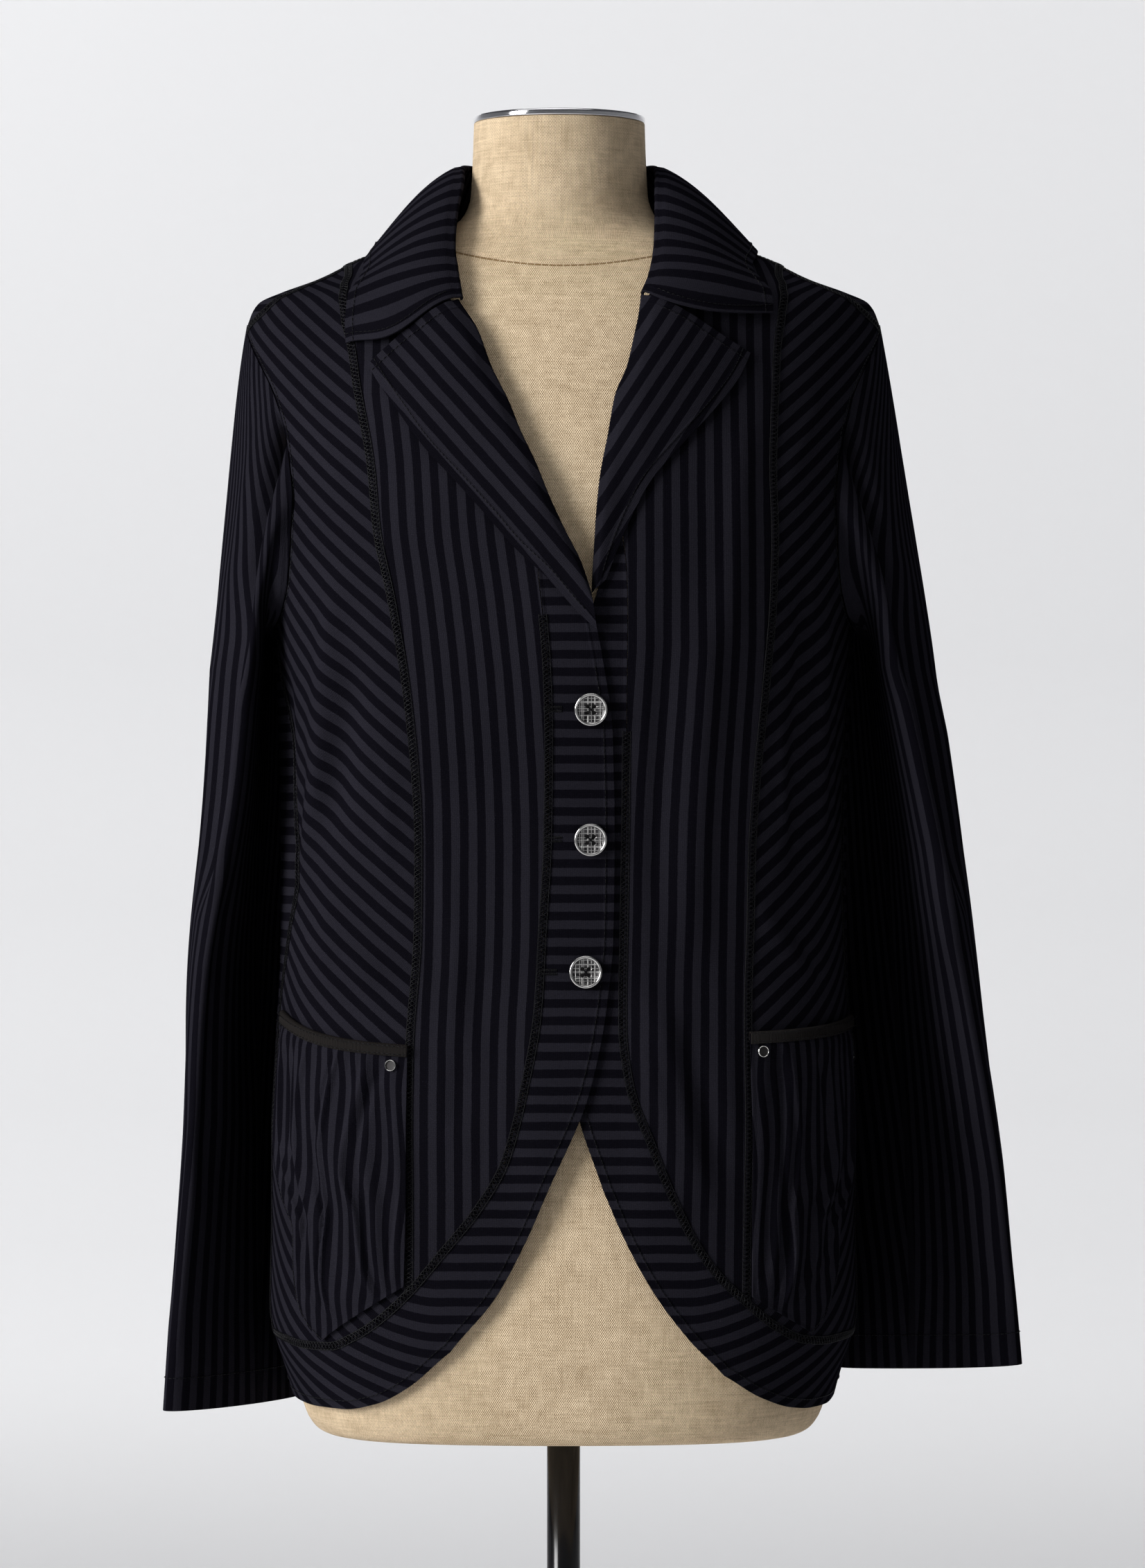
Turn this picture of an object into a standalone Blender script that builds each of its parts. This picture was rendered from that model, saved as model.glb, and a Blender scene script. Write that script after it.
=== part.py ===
"""A striped blazer that rests on a dress form. Metres, +Z up, the front faces -Y.

Every cloth piece is a thin wall on one surface, skin(turn, height): turn is the angle round the
garment in degrees, 0 at the front, 90 at the side and 180 at the back, and negative on the wearer's
right, which is the viewer's left.
"""
import bmesh
import bpy
import numpy as np

for old in list(bpy.data.objects):
    bpy.data.objects.remove(old, do_unlink=True)

# Driving dimensions
CLOTH = 0.0018          # wall of one piece of cloth
SEAM_GAP = 0.0003       # between two pieces that are sewn together
RIM_PULL = 0.00025      # how far each piece stops short of its seam line
LAYER_GAP = 0.0008      # between a piece and the panel that it lies on
LAP = 0.0014            # how far the fronts move out and in where one lies on the other
RIDGE_Y = 0.005         # depth at which the sections are widest
FOLD_RADIUS = 0.0010    # inside radius where a lapel or the collar turns back
LAPEL_RISE = 0.0045     # how far a lapel's middle stands off the front
COLLAR_RISE = 0.0055    # how far the collar's fall bows out
COLLAR_CLEAR = 0.0020   # how far the collar's bowed ends stand clear of the lapels
FOLD_SETBACK = 0.0005   # how far a lapel's fold stands outside its roll line
STAND_LIFT = 0.0006     # between the collar's stand and the neck seam's surface
STAND_TUCK = 0.0001     # how far the stand's top edge is tucked in from the collar's fold
METRES_PER_DEGREE = 0.0027
GATHER = 1.3            # how much the rows of points gather towards the shoulder
RIM_REACH = 8           # how fast a panel's rows lose the bow of its bottom and top edge

NECK_X = -0.0026
NECK_RADIUS = 0.0525
FORM_BOTTOM = 0.770
NECK_TOP = 1.5707
CAP_THICKNESS = 0.0042
POLE_RADIUS = 0.0102
BASE_RADIUS = 0.155
BASE_THICKNESS = 0.012
SOCKET_HEIGHT = 0.048
SOCKET_RADIUS = 0.0175
BUTTON_RADIUS = 0.0098
BUTTON_THICKNESS = 0.0034
RIVET_RADIUS = 0.0036
BADGE_RADIUS = 0.0090

# Outer sections of the garment: height, half_width, front, back, square
SECTIONS = np.array([
    (0.770, 0.1600, 0.124, 0.132, 0.05),
    (0.800, 0.1680, 0.127, 0.134, 0.05),
    (0.848, 0.1800, 0.130, 0.136, 0.05),
    (0.900, 0.1790, 0.129, 0.134, 0.05),
    (0.950, 0.1790, 0.128, 0.130, 0.05),
    (1.000, 0.1770, 0.125, 0.124, 0.05),
    (1.060, 0.1740, 0.121, 0.117, 0.05),
    (1.110, 0.1735, 0.121, 0.113, 0.05),
    (1.170, 0.1740, 0.127, 0.114, 0.05),
    (1.220, 0.1760, 0.134, 0.117, 0.05),
    (1.260, 0.1780, 0.136, 0.119, 0.05),
    (1.300, 0.1800, 0.132, 0.120, 0.045),
    (1.350, 0.1840, 0.120, 0.117, 0.03),
    (1.400, 0.1900, 0.104, 0.107, 0.02),
    (1.440, 0.1950, 0.090, 0.096, 0.0),
    (1.452, 0.1920, 0.084, 0.092, 0.0),
    (1.460, 0.1870, 0.080, 0.089, 0.0),
    (1.466, 0.1740, 0.077, 0.087, 0.0),
    (1.474, 0.1520, 0.072, 0.084, 0.0),
    (1.484, 0.1310, 0.065, 0.080, 0.0),
    (1.492, 0.1110, 0.058, 0.077, 0.0),
    (1.500, 0.0920, 0.051, 0.073, 0.0),
    (1.508, 0.0780, 0.044, 0.069, 0.0),
])

# How far the dress form lies inside the garment's outer surface: height, depth
EASE = np.array([
    (0.770, 0.0040),
    (0.800, 0.0050),
    (0.900, 0.0070),
    (1.000, 0.0085),
    (1.300, 0.0085),
    (1.400, 0.0078),
    (1.440, 0.0070),
    (1.452, 0.0064),
    (1.462, 0.0064),
    (1.484, 0.0052),
    (1.508, 0.0042),
])

# Soft ridges (depth above 0) and troughs: turn_1, height_1, turn_2, height_2, half_width, depth
FOLDS = np.array([
    (-43, 1.285, -57, 1.115, 0.011, 0.0045),
    (-38, 1.240, -47, 1.140, 0.012, -0.0040),
    (-66, 1.235, -68, 1.130, 0.010, -0.0035),
    (-52, 1.085, -33, 1.048, 0.008, 0.0022),
    (-14, 1.060, -17, 0.960, 0.010, -0.0020),
    (47, 1.285, 47, 1.105, 0.007, -0.0040),
    (56, 1.270, 57, 1.120, 0.010, 0.0035),
    (36, 1.090, 50, 1.050, 0.008, 0.0020),
    (15, 1.040, 23, 0.920, 0.008, 0.0030),
    (20, 1.020, 26, 0.930, 0.008, -0.0025),
    (108, 1.230, 128, 1.120, 0.012, -0.0035),
    (-112, 1.210, -130, 1.110, 0.013, -0.0035),
    (140, 1.180, 172, 1.130, 0.010, 0.0030),
    (-138, 1.150, -170, 1.105, 0.010, 0.0028),
    (128, 1.050, 131, 0.880, 0.014, 0.0035),
    (-120, 1.040, -124, 0.890, 0.014, 0.0035),
    (160, 1.030, 163, 0.870, 0.013, -0.0030),
    (-160, 1.020, -158, 0.900, 0.013, -0.0028),
])

# Seams and edges, each a list of turn, height from the bottom up or from the front back
PRINCESS = {
    "right": [(-25.8, 0.863), (-25.9, 0.931), (-26.2, 1.010), (-25.1, 1.080), (-25.0, 1.130),
              (-26.4, 1.206), (-29.1, 1.268), (-33.3, 1.319), (-36.3, 1.375), (-42.0, 1.440),
              (-45.5, 1.460), (-53.5, 1.4695), (-69.0, 1.4795), (-80.0, 1.4832)],
    "left": [(31.6, 0.857), (32.3, 0.931), (33.0, 1.020), (34.1, 1.080), (34.6, 1.130),
             (37.0, 1.219), (38.4, 1.280), (39.3, 1.330), (39.4, 1.385), (42.0, 1.440),
             (45.5, 1.460), (53.5, 1.4695), (69.0, 1.4795), (80.0, 1.4832)],
}
SIDE = {
    "right": [(-79.0, 0.832), (-80.0, 0.880), (-79.5, 0.950), (-75.5, 1.030), (-68.0, 1.072),
              (-61.5, 1.110), (-63.5, 1.160), (-68.0, 1.205), (-74.1, 1.2615)],
    "left": [(79.0, 0.832), (80.0, 0.880), (79.5, 0.950), (77.0, 1.030), (73.5, 1.090),
             (72.0, 1.150), (72.5, 1.205), (75.0, 1.2615)],
}
ARMHOLE_FRONT = {
    "right": [(-74.1, 1.2615), (-68.7, 1.267), (-62.6, 1.285), (-60.3, 1.312), (-59.7, 1.3435),
              (-61.0, 1.374), (-65.0, 1.400), (-73.0, 1.4225), (-83.0, 1.4425)],
    "left": [(75.0, 1.2615), (69.5, 1.267), (63.5, 1.285), (61.0, 1.312), (60.5, 1.3435),
             (61.8, 1.374), (65.5, 1.400), (73.5, 1.4240), (83.0, 1.4425)],
}
ARMHOLE_BACK = [(83.0, 1.4425), (90.0, 1.448), (99.0, 1.441), (109.0, 1.420), (117.0, 1.380),
                (118.5, 1.335), (113.0, 1.292), (102.0, 1.266), (88.0, 1.2570), (75.0, 1.2615)]
BACK_PRINCESS = [(149.0, 0.833), (150.0, 0.900), (152.0, 1.000), (154.0, 1.110), (152.5, 1.200),
                 (148.0, 1.300), (143.0, 1.380), (139.5, 1.430), (134.5, 1.460), (127.0, 1.4695),
                 (111.0, 1.4795), (95.0, 1.4831), (80.0, 1.4832)]
SHOULDER_OUTER = [(80.0, 1.4832), (71.0, 1.4730), (68.0, 1.4640), (71.0, 1.4550), (83.0, 1.4425)]
SHOULDER_INNER = [(84.0, 1.5045), (82.5, 1.4950), (80.0, 1.4832)]
BACK_NECK = [(180.0, 1.5030), (150.0, 1.5035), (115.0, 1.5045), (84.0, 1.5045)]
ROLL = {
    "right": [(4.5, 1.2758), (2.6, 1.2943), (0.0, 1.3129), (-2.4, 1.3312), (-5.0, 1.3537),
              (-7.7, 1.3743), (-9.6, 1.3912), (-12.9, 1.4132), (-16.4, 1.4389), (-19.8, 1.4540)],
    "left": [(5.0, 1.2800), (5.6, 1.3055), (6.1, 1.3275), (6.8, 1.3479), (8.1, 1.3722),
             (9.4, 1.3971), (11.6, 1.4141), (13.4, 1.4351), (14.9, 1.4570)],
}
FRONT_NECK = {
    "right": [(-19.8, 1.4540), (-27.5, 1.4715), (-42.0, 1.4880), (-62.0, 1.4990), (-84.0, 1.5045)],
    "left": [(14.9, 1.4570), (21.5, 1.4720), (37.0, 1.4880), (59.0, 1.4985), (84.0, 1.5045)],
}

# The front band, from its top behind the lapel down round the cutaway to the side:
# seam_turn, seam_height, edge_turn, edge_height
BAND = {
    "right": [
        (-4.9, 1.345, -3.7, 1.3425),
        (-4.4, 1.313, -0.1, 1.3129),
        (-3.9, 1.288, 2.9, 1.2915),
        (-3.2, 1.265, 4.7, 1.2680),
        (-2.6, 1.235, 6.5, 1.2350),
        (-2.3, 1.196, 8.0, 1.1960),
        (-2.5, 1.1335, 8.4, 1.1335),
        (-3.4, 1.0747, 8.2, 1.0747),
        (-4.1, 1.029, 7.1, 1.0340),
        (-6.0, 0.987, 4.2, 0.9820),
        (-9.2, 0.941, -2.4, 0.9230),
        (-13.6, 0.913, -5.9, 0.8930),
        (-19.5, 0.8875, -11.1, 0.8580),
        (-25.8, 0.863, -18.5, 0.8280),
        (-32.9, 0.844, -27.8, 0.8060),
        (-38.8, 0.835, -36.0, 0.7955),
        (-45.1, 0.8295, -46.0, 0.7912),
        (-53.5, 0.829, -58.0, 0.7912),
        (-66.0, 0.831, -68.0, 0.7920),
        (-79.0, 0.832, -79.0, 0.7930),
    ],
    "left": [
        (8.8, 1.3425, 7.4, 1.3400),
        (9.6, 1.313, 6.2, 1.3110),
        (10.2, 1.290, 5.8, 1.2880),
        (10.3, 1.265, 3.6, 1.2600),
        (10.3, 1.235, 1.0, 1.2300),
        (10.3, 1.196, -0.4, 1.1960),
        (10.2, 1.137, -0.4, 1.1370),
        (9.9, 1.075, -0.4, 1.0750),
        (9.6, 1.020, 0.1, 1.0200),
        (10.6, 0.987, 2.0, 0.9730),
        (14.2, 0.950, 6.3, 0.9234),
        (17.4, 0.922, 9.6, 0.8955),
        (21.6, 0.893, 14.6, 0.8620),
        (26.0, 0.873, 20.8, 0.8345),
        (31.6, 0.857, 28.6, 0.8130),
        (38.0, 0.843, 38.5, 0.7990),
        (47.0, 0.8335, 48.4, 0.7920),
        (56.0, 0.8315, 58.0, 0.7900),
        (68.0, 0.832, 69.0, 0.7900),
        (79.0, 0.832, 79.0, 0.7920),
    ],
}
BAND_CORNER = 10        # the row of BAND at the lower corner of the centre front
BAND_PRINCESS = {"right": 13, "left": 14}    # the row at the foot of the princess seam
HEM_SEAM = 0.832
HEM_EDGE = 0.7925

# Lapel edge from the lowest point to the tip, and its top from the roll to the tip
LAPEL_EDGE = {
    "right": [(5.3, 1.2560), (1.9, 1.2680), (-2.4, 1.2861), (-7.4, 1.3034), (-12.5, 1.3238),
              (-18.2, 1.3448), (-24.1, 1.3655), (-30.2, 1.3919), (-36.1, 1.4161)],
    "left": [(6.8, 1.2860), (8.6, 1.3034), (11.2, 1.3238), (14.6, 1.3447), (20.3, 1.3670),
             (26.2, 1.3879), (32.2, 1.4111), (34.5, 1.4228)],
}
GORGE = {
    "right": [(-19.8, 1.4540), (-26.5, 1.4394), (-29.7, 1.4323), (-36.1, 1.4161)],
    "left": [(14.9, 1.4570), (24.1, 1.4416), (29.6, 1.4314), (34.5, 1.4228)],
}

# The collar, from the centre back to the front: where it turns over (x, y, z), where its outer edge
# lies (turn, height), and where its stand is sewn on (turn, height)
COLLAR = {
    "right": [
        ((0.0000, 0.0730, 1.5460), (-180.0, 1.4915), (-180.0, 1.5060)),
        ((-0.0260, 0.0690, 1.5460), (-160.0, 1.4905), (-158.0, 1.5060)),
        ((-0.0470, 0.0550, 1.5458), (-138.0, 1.4900), (-134.0, 1.5065)),
        ((-0.0590, 0.0330, 1.5450), (-113.0, 1.4900), (-111.0, 1.5070)),
        ((-0.0620, 0.0080, 1.5410), (-89.0, 1.4900), (-89.0, 1.5070)),
        ((-0.0620, -0.0150, 1.5310), (-70.0, 1.4865), (-72.0, 1.5055)),
        ((-0.0655, -0.0330, 1.5110), (-57.0, 1.4780), (-53.0, 1.5000)),
        ((-0.0670, -0.0500, 1.4900), (-47.0, 1.4680), (-37.0, 1.4895)),
        ((-0.0650, -0.0630, 1.4735), (-43.0, 1.4570), (-26.0, 1.4735)),
        ((-0.0620, -0.0735, 1.4560), (-41.5, 1.4293), (-20.0, 1.4560)),
    ],
    "left": [
        ((0.0000, 0.0730, 1.5460), (180.0, 1.4915), (180.0, 1.5060)),
        ((0.0230, 0.0690, 1.5460), (160.0, 1.4905), (158.0, 1.5060)),
        ((0.0425, 0.0550, 1.5458), (138.0, 1.4900), (134.0, 1.5065)),
        ((0.0540, 0.0330, 1.5450), (113.0, 1.4900), (111.0, 1.5070)),
        ((0.0570, 0.0080, 1.5400), (89.0, 1.4900), (89.0, 1.5070)),
        ((0.0570, -0.0150, 1.5290), (70.0, 1.4865), (72.0, 1.5055)),
        ((0.0570, -0.0340, 1.5080), (55.0, 1.4800), (52.0, 1.5000)),
        ((0.0560, -0.0530, 1.4865), (46.5, 1.4710), (34.0, 1.4880)),
        ((0.0530, -0.0650, 1.4710), (42.0, 1.4610), (23.0, 1.4720)),
        ((0.0484, -0.0740, 1.4592), (40.3, 1.4478), (15.5, 1.4592)),
    ],
}

# Pocket pieces that lie on the side fronts, each edge from the top down
POCKET_INNER = {
    "right": [(-26.4, 1.0085), (-26.2, 0.931), (-26.6, 0.8665)],
    "left": [(33.0, 1.0160), (32.8, 0.931), (32.6, 0.860)],
}
POCKET_OUTER = {
    "right": [(-68.0, 1.0270), (-71.0, 0.990), (-71.5, 0.951), (-65.0, 0.919), (-58.0, 0.896),
              (-57.5, 0.877), (-56.0, 0.860), (-51.5, 0.842), (-47.0, 0.8325)],
    "left": [(75.0, 1.0235), (74.5, 0.990), (73.5, 0.951), (68.0, 0.919), (61.0, 0.896),
             (60.0, 0.877), (57.0, 0.860), (53.0, 0.846), (49.0, 0.8365)],
}
POCKET_MOUTH_DIP = {"right": 0.0035, "left": 0.0010}
PUCKER_COUNT = 5        # soft upright waves across one pocket
PUCKER_DEPTH = 0.0011
BINDING_WIDTH = 0.0070

# Sleeves below the armhole: height, centre_x, centre_y, half_width, half_depth, turned, curve
SLEEVE = {
    "right": np.array([
        (1.235, 0.1999, 0.014, 0.086, 0.0175, 2, 0.014),
        (1.165, 0.2020, 0.018, 0.084, 0.0180, 5, 0.013),
        (1.045, 0.2067, 0.032, 0.080, 0.0175, 14, 0.008),
        (0.950, 0.2060, 0.040, 0.074, 0.0175, 19, 0.004),
        (0.853, 0.2055, 0.045, 0.070, 0.0180, 27, 0.001),
        (0.7815, 0.2045, 0.045, 0.068, 0.0180, 34, 0.000),
    ]),
    "left": np.array([
        (1.235, 0.2079, 0.014, 0.086, 0.0200, 4, 0.014),
        (1.136, 0.2172, 0.020, 0.084, 0.0200, 12, 0.012),
        (1.035, 0.2243, 0.028, 0.080, 0.0200, 22, 0.011),
        (0.925, 0.2309, 0.034, 0.076, 0.0195, 32, 0.008),
        (0.862, 0.2317, 0.036, 0.073, 0.0190, 38, 0.006),
        (0.8055, 0.2297, 0.036, 0.071, 0.0185, 46, 0.003),
    ]),
}
BACK_CURVE = 2.2        # how much more the back of a sleeve curves round the body than its front
SLEEVE_CUFF_RISE = {"right": 0.0, "left": 0.10}     # slope of the cuff outwards
CAP_HEIGHTS = 1.260, 1.4425     # a cap leaves the armhole sideways at the first, downwards at the second
CAP_REACH = 0.8, 0.9            # how far its curve keeps its direction at the armhole and at the tube

# Long creases of the sleeves: around (0 inside, 90 front, 180 outside), top, bottom, width, depth
SLEEVE_FOLDS = {
    "right": [(108, 1.425, 1.210, 10, -0.0105), (125, 1.300, 1.080, 13, -0.0090),
              (74, 1.400, 1.270, 12, 0.0040), (62, 1.130, 0.900, 14, -0.0040), (215, 1.330, 0.940, 16, -0.0050),
              (160, 1.020, 0.820, 14, 0.0030)],
    "left": [(108, 1.425, 1.210, 10, -0.0105), (125, 1.300, 1.080, 13, -0.0090),
             (74, 1.400, 1.270, 12, 0.0040), (150, 1.240, 0.850, 14, 0.0030), (205, 1.300, 0.900, 16, -0.0050),
             (68, 1.080, 0.880, 14, -0.0035)],
}

BUTTONS = [(4.4, 1.2095), (4.4, 1.1323), (3.6, 1.0533)]     # turn, height
RIVETS = {"right": (-29.6, 0.9975), "left": (35.6, 1.0055)}
BADGE = (79.0, 1.0040)
SIGN = {"right": -1.0, "left": 1.0}


def smooth_column(table, column):
    """A curve through one column of a table, with no overshoot between its rows."""
    xs, ys = table[:, 0], table[:, column]
    gaps = np.diff(xs)
    slopes = np.diff(ys) / gaps
    tangents = np.concatenate([[slopes[0]], np.zeros(len(xs) - 2), [slopes[-1]]])
    for i in range(1, len(xs) - 1):
        if slopes[i - 1] * slopes[i] > 0:
            a = 2 * gaps[i] + gaps[i - 1]
            b = gaps[i] + 2 * gaps[i - 1]
            tangents[i] = (a + b) / (a / slopes[i - 1] + b / slopes[i])

    def at(x):
        x = np.clip(x, xs[0], xs[-1])
        i = np.clip(np.searchsorted(xs, x) - 1, 0, len(gaps) - 1)
        t = (x - xs[i]) / gaps[i]
        start = (2 * t**3 - 3 * t**2 + 1) * ys[i] + (t**3 - 2 * t**2 + t) * gaps[i] * tangents[i]
        end = (-2 * t**3 + 3 * t**2) * ys[i + 1] + (t**3 - t**2) * gaps[i] * tangents[i + 1]
        return start + end

    return at


half_width, front_depth, back_depth, squareness = (smooth_column(SECTIONS, c) for c in (1, 2, 3, 4))
ease_at = smooth_column(EASE, 1)


def step(x):
    """0 below 0, 1 above 1 and an S curve between."""
    x = np.clip(x, 0, 1)
    return x * x * (3 - 2 * x)


def unit(v):
    return v / np.maximum(np.linalg.norm(v, axis=-1, keepdims=True), 1e-12)


def body(turn, height):
    """The plain outer surface, with no folds."""
    angle = np.radians(turn)
    k = squareness(height)
    across = (np.sin(angle) + k * np.sin(3 * angle)) / (1 - k)
    along = (np.cos(angle) - k * np.cos(3 * angle)) / (1 - k)
    depth = np.where(along > 0, front_depth(height), back_depth(height))
    return np.stack([half_width(height) * across, RIDGE_Y - depth * along, height + 0 * angle], -1)


def outward(turn, height):
    """Unit normal of the plain surface."""
    d_turn = body(turn + 0.5, height) - body(turn - 0.5, height)
    d_height = body(turn, height + 0.0004) - body(turn, height - 0.0004)
    return unit(np.cross(d_turn, d_height))


def fold_height(turn, height):
    """How far the soft folds stand out of the plain surface."""
    total = np.zeros(np.broadcast(turn, height).shape)
    for turn_1, height_1, turn_2, height_2, width, depth in FOLDS:
        along = np.array([(turn_2 - turn_1) * METRES_PER_DEGREE, height_2 - height_1])
        length = np.hypot(*along)
        here = np.stack([(turn - turn_1) * METRES_PER_DEGREE, height - height_1], -1)
        share = here @ along / length**2
        aside = (here[..., 0] * along[1] - here[..., 1] * along[0]) / length
        fade = step(share / 0.3 + 0.3) * step((1 - share) / 0.3 + 0.3)
        total = total + depth * np.exp(-((aside / width) ** 2)) * fade
    return total


def skin(turn, height, lift=0.0, side="right"):
    """A point of the garment's outer surface, moved out by lift."""
    # The right front lies out over the left front, which moves in under it.
    if side == "right":
        lap = LAP * step((turn + 9) / 6)
    else:
        lap = -LAP * step((14 - turn) / 5)
    away = lift + lap + fold_height(turn, height)
    return body(turn, height) + outward(turn, height) * away[..., None]


def mirrored(points):
    return [(-turn, height) for turn, height in points]


def sample(points, count, gather=1.0):
    """count + 1 places along a smooth line through the points, closer to its end if gather is over 1."""
    points = np.array(points, float)
    steps = np.diff(body(points[:, 0], points[:, 1]), axis=0)
    run = np.concatenate([[0], np.cumsum(np.linalg.norm(steps, axis=1))])
    table = np.column_stack([run, points])
    places = run[-1] * (1 - (1 - np.linspace(0, 1, count + 1)) ** gather)
    return np.column_stack([smooth_column(table, 1)(places), smooth_column(table, 2)(places)])


def chain(*parts):
    """Several sampled lines, each starting where the one before it ends."""
    joined = [sample(*parts[0])]
    for part in parts[1:]:
        joined.append(sample(*part)[1:])
    return np.concatenate(joined)


def patch(bottom, top, left, right):
    """A grid of places that fills the outline: rows go from bottom to top, columns left to right."""
    u = np.linspace(0, 1, len(bottom))[None, :, None]
    v = np.linspace(0, 1, len(left))[:, None, None]
    ruled = (1 - u) * left[:, None] + u * right[:, None]
    bottom_bow = bottom[None] - ruled[:1]
    top_bow = top[None] - ruled[-1:]
    return ruled + (1 - v) ** RIM_REACH * bottom_bow + v**RIM_REACH * top_bow


def pull_in(grid, distance, sides="btlr"):
    """Moves the rims of a grid of points inwards, for the gap at a seam."""
    grid = grid.copy()
    pairs = {"b": (grid[0], grid[1]), "t": (grid[-1], grid[-2]),
             "l": (grid[:, 0], grid[:, 1]), "r": (grid[:, -1], grid[:, -2])}
    moves = {}
    for side in sides:
        rim, next_in = pairs[side]
        along = unit(np.gradient(rim, axis=0))
        inwards = next_in - rim
        inwards = inwards - np.sum(inwards * along, axis=-1, keepdims=True) * along
        moves[side] = unit(inwards) * distance
    for side in sides:
        pairs[side][0][...] += moves[side]
    return grid


def material(name, colour, roughness, metallic=0.0):
    made = bpy.data.materials.new(name)
    made.use_nodes = True
    shader = made.node_tree.nodes["Principled BSDF"]
    shader.inputs["Base Color"].default_value = (*colour, 1.0)
    shader.inputs["Roughness"].default_value = roughness
    shader.inputs["Metallic"].default_value = metallic
    return made


cloth = material("cloth", (0.014, 0.014, 0.022), 0.75)
tape = material("tape", (0.030, 0.024, 0.022), 0.7)
linen = material("linen", (0.58, 0.44, 0.29), 0.9)
gunmetal = material("gunmetal", (0.20, 0.20, 0.21), 0.3, 1.0)
chrome = material("chrome", (0.75, 0.75, 0.77), 0.12, 1.0)
black_paint = material("black_paint", (0.012, 0.012, 0.013), 0.3)


def add(name, points, faces, finish):
    """A closed object from points and faces, with its faces turned outwards."""
    mesh = bpy.data.meshes.new(name)
    mesh.from_pydata([tuple(p) for p in points], [], faces)
    shape = bmesh.new()
    shape.from_mesh(mesh)
    bmesh.ops.recalc_face_normals(shape, faces=shape.faces)
    shape.to_mesh(mesh)
    shape.free()
    mesh.shade_smooth()
    mesh.materials.append(finish)
    made = bpy.data.objects.new(name, mesh)
    bpy.context.scene.collection.objects.link(made)
    return made


def wall(name, outer, inner, finish, tube=False):
    """A wall between two grids of points. A tube is joined where its last column meets its first."""
    rows, columns = outer.shape[:2]
    points = np.concatenate([outer.reshape(-1, 3), inner.reshape(-1, 3)])
    second = rows * columns
    spans = columns if tube else columns - 1

    def at(r, c, face=0):
        return face * second + r * columns + c % columns

    faces = []
    for r in range(rows - 1):
        for c in range(spans):
            faces.append((at(r, c), at(r, c + 1), at(r + 1, c + 1), at(r + 1, c)))
            faces.append((at(r, c, 1), at(r + 1, c, 1), at(r + 1, c + 1, 1), at(r, c + 1, 1)))
    for c in range(spans):
        faces.append((at(0, c), at(0, c, 1), at(0, c + 1, 1), at(0, c + 1)))
        last = rows - 1
        faces.append((at(last, c), at(last, c + 1), at(last, c + 1, 1), at(last, c, 1)))
    if not tube:
        for r in range(rows - 1):
            end = columns - 1
            faces.append((at(r, 0), at(r + 1, 0), at(r + 1, 0, 1), at(r, 0, 1)))
            faces.append((at(r, end), at(r, end, 1), at(r + 1, end, 1), at(r + 1, end)))
    return add(name, points, faces, finish)


def panel(name, places, side, lift=0.0, rims="btlr", finish=cloth):
    """One flat-cut piece of cloth on the garment's surface."""
    turn, height = places[..., 0], places[..., 1]
    outer = skin(turn, height, lift, side)
    inner = skin(turn, height, lift - CLOTH, side)
    return wall(name, pull_in(outer, RIM_PULL, rims), pull_in(inner, RIM_PULL, rims), finish)


def band_stretches(side, which):
    """The band's seam (0) or edge (1), sampled: top to corner, on to the princess seam, on to the side."""
    line = [row[2 * which:2 * which + 2] for row in BAND[side]]
    corner, princess = BAND_CORNER, BAND_PRINCESS[side]
    return sample(line[:corner + 1], 12), sample(line[corner:princess + 1], 5), sample(line[princess:], 7)


def centre_front(side):
    """Between the band's seam and roll line in front, and the princess seam."""
    seam, bottom, _ = band_stretches(side, 0)
    roll = [place for place in ROLL[side] if place[1] > seam[0][1] + 0.004]
    upper = chain(([tuple(seam[0])] + roll, 5), (FRONT_NECK[side], 4))
    inner = np.concatenate([seam[::-1], upper[1:]])
    outer = sample(PRINCESS[side], 21, GATHER)
    top = sample(mirrored(SHOULDER_INNER) if side == "right" else SHOULDER_INNER, 5)[::-1]
    panel(f"front_{side}", patch(bottom[::-1], top, outer, inner), side)


def side_front(side):
    """Between the princess seam and the side seam and armhole."""
    shoulder = mirrored(SHOULDER_OUTER) if side == "right" else SHOULDER_OUTER
    bottom = band_stretches(side, 0)[2]
    outer = chain((SIDE[side], 11), (ARMHOLE_FRONT[side], 10))
    places = patch(bottom, sample(shoulder, 7), sample(PRINCESS[side], 21, GATHER), outer)
    panel(f"side_front_{side}", places, side)


def on_side(points, side):
    return mirrored(points) if side == "right" else list(points)


def armhole_back(side):
    """The back of the armhole, from the shoulder down to the top of the side seam."""
    return on_side(ARMHOLE_BACK[:-1], side) + [SIDE[side][-1]]


def side_back(side):
    outer = chain((SIDE[side], 11), (armhole_back(side)[::-1], 10))
    princess = on_side(BACK_PRINCESS, side)
    bottom = sample([princess[0], SIDE[side][0]], 7)
    top = sample(on_side(SHOULDER_OUTER, side), 7)
    panel(f"side_back_{side}", patch(bottom, top, sample(princess, 21, GATHER), outer), side)


def back(side):
    princess = on_side(BACK_PRINCESS, side)
    centre = on_side([(180.0, HEM_SEAM + 0.001), (180.0, 1.300), BACK_NECK[0]], side)
    bottom = sample([centre[0], princess[0]], 5)
    top = chain((on_side(BACK_NECK, side), 4), (on_side(SHOULDER_INNER, side), 1))
    panel(f"back_{side}", patch(bottom, top, sample(centre, 21, GATHER), sample(princess, 21, GATHER)), side)


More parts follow.
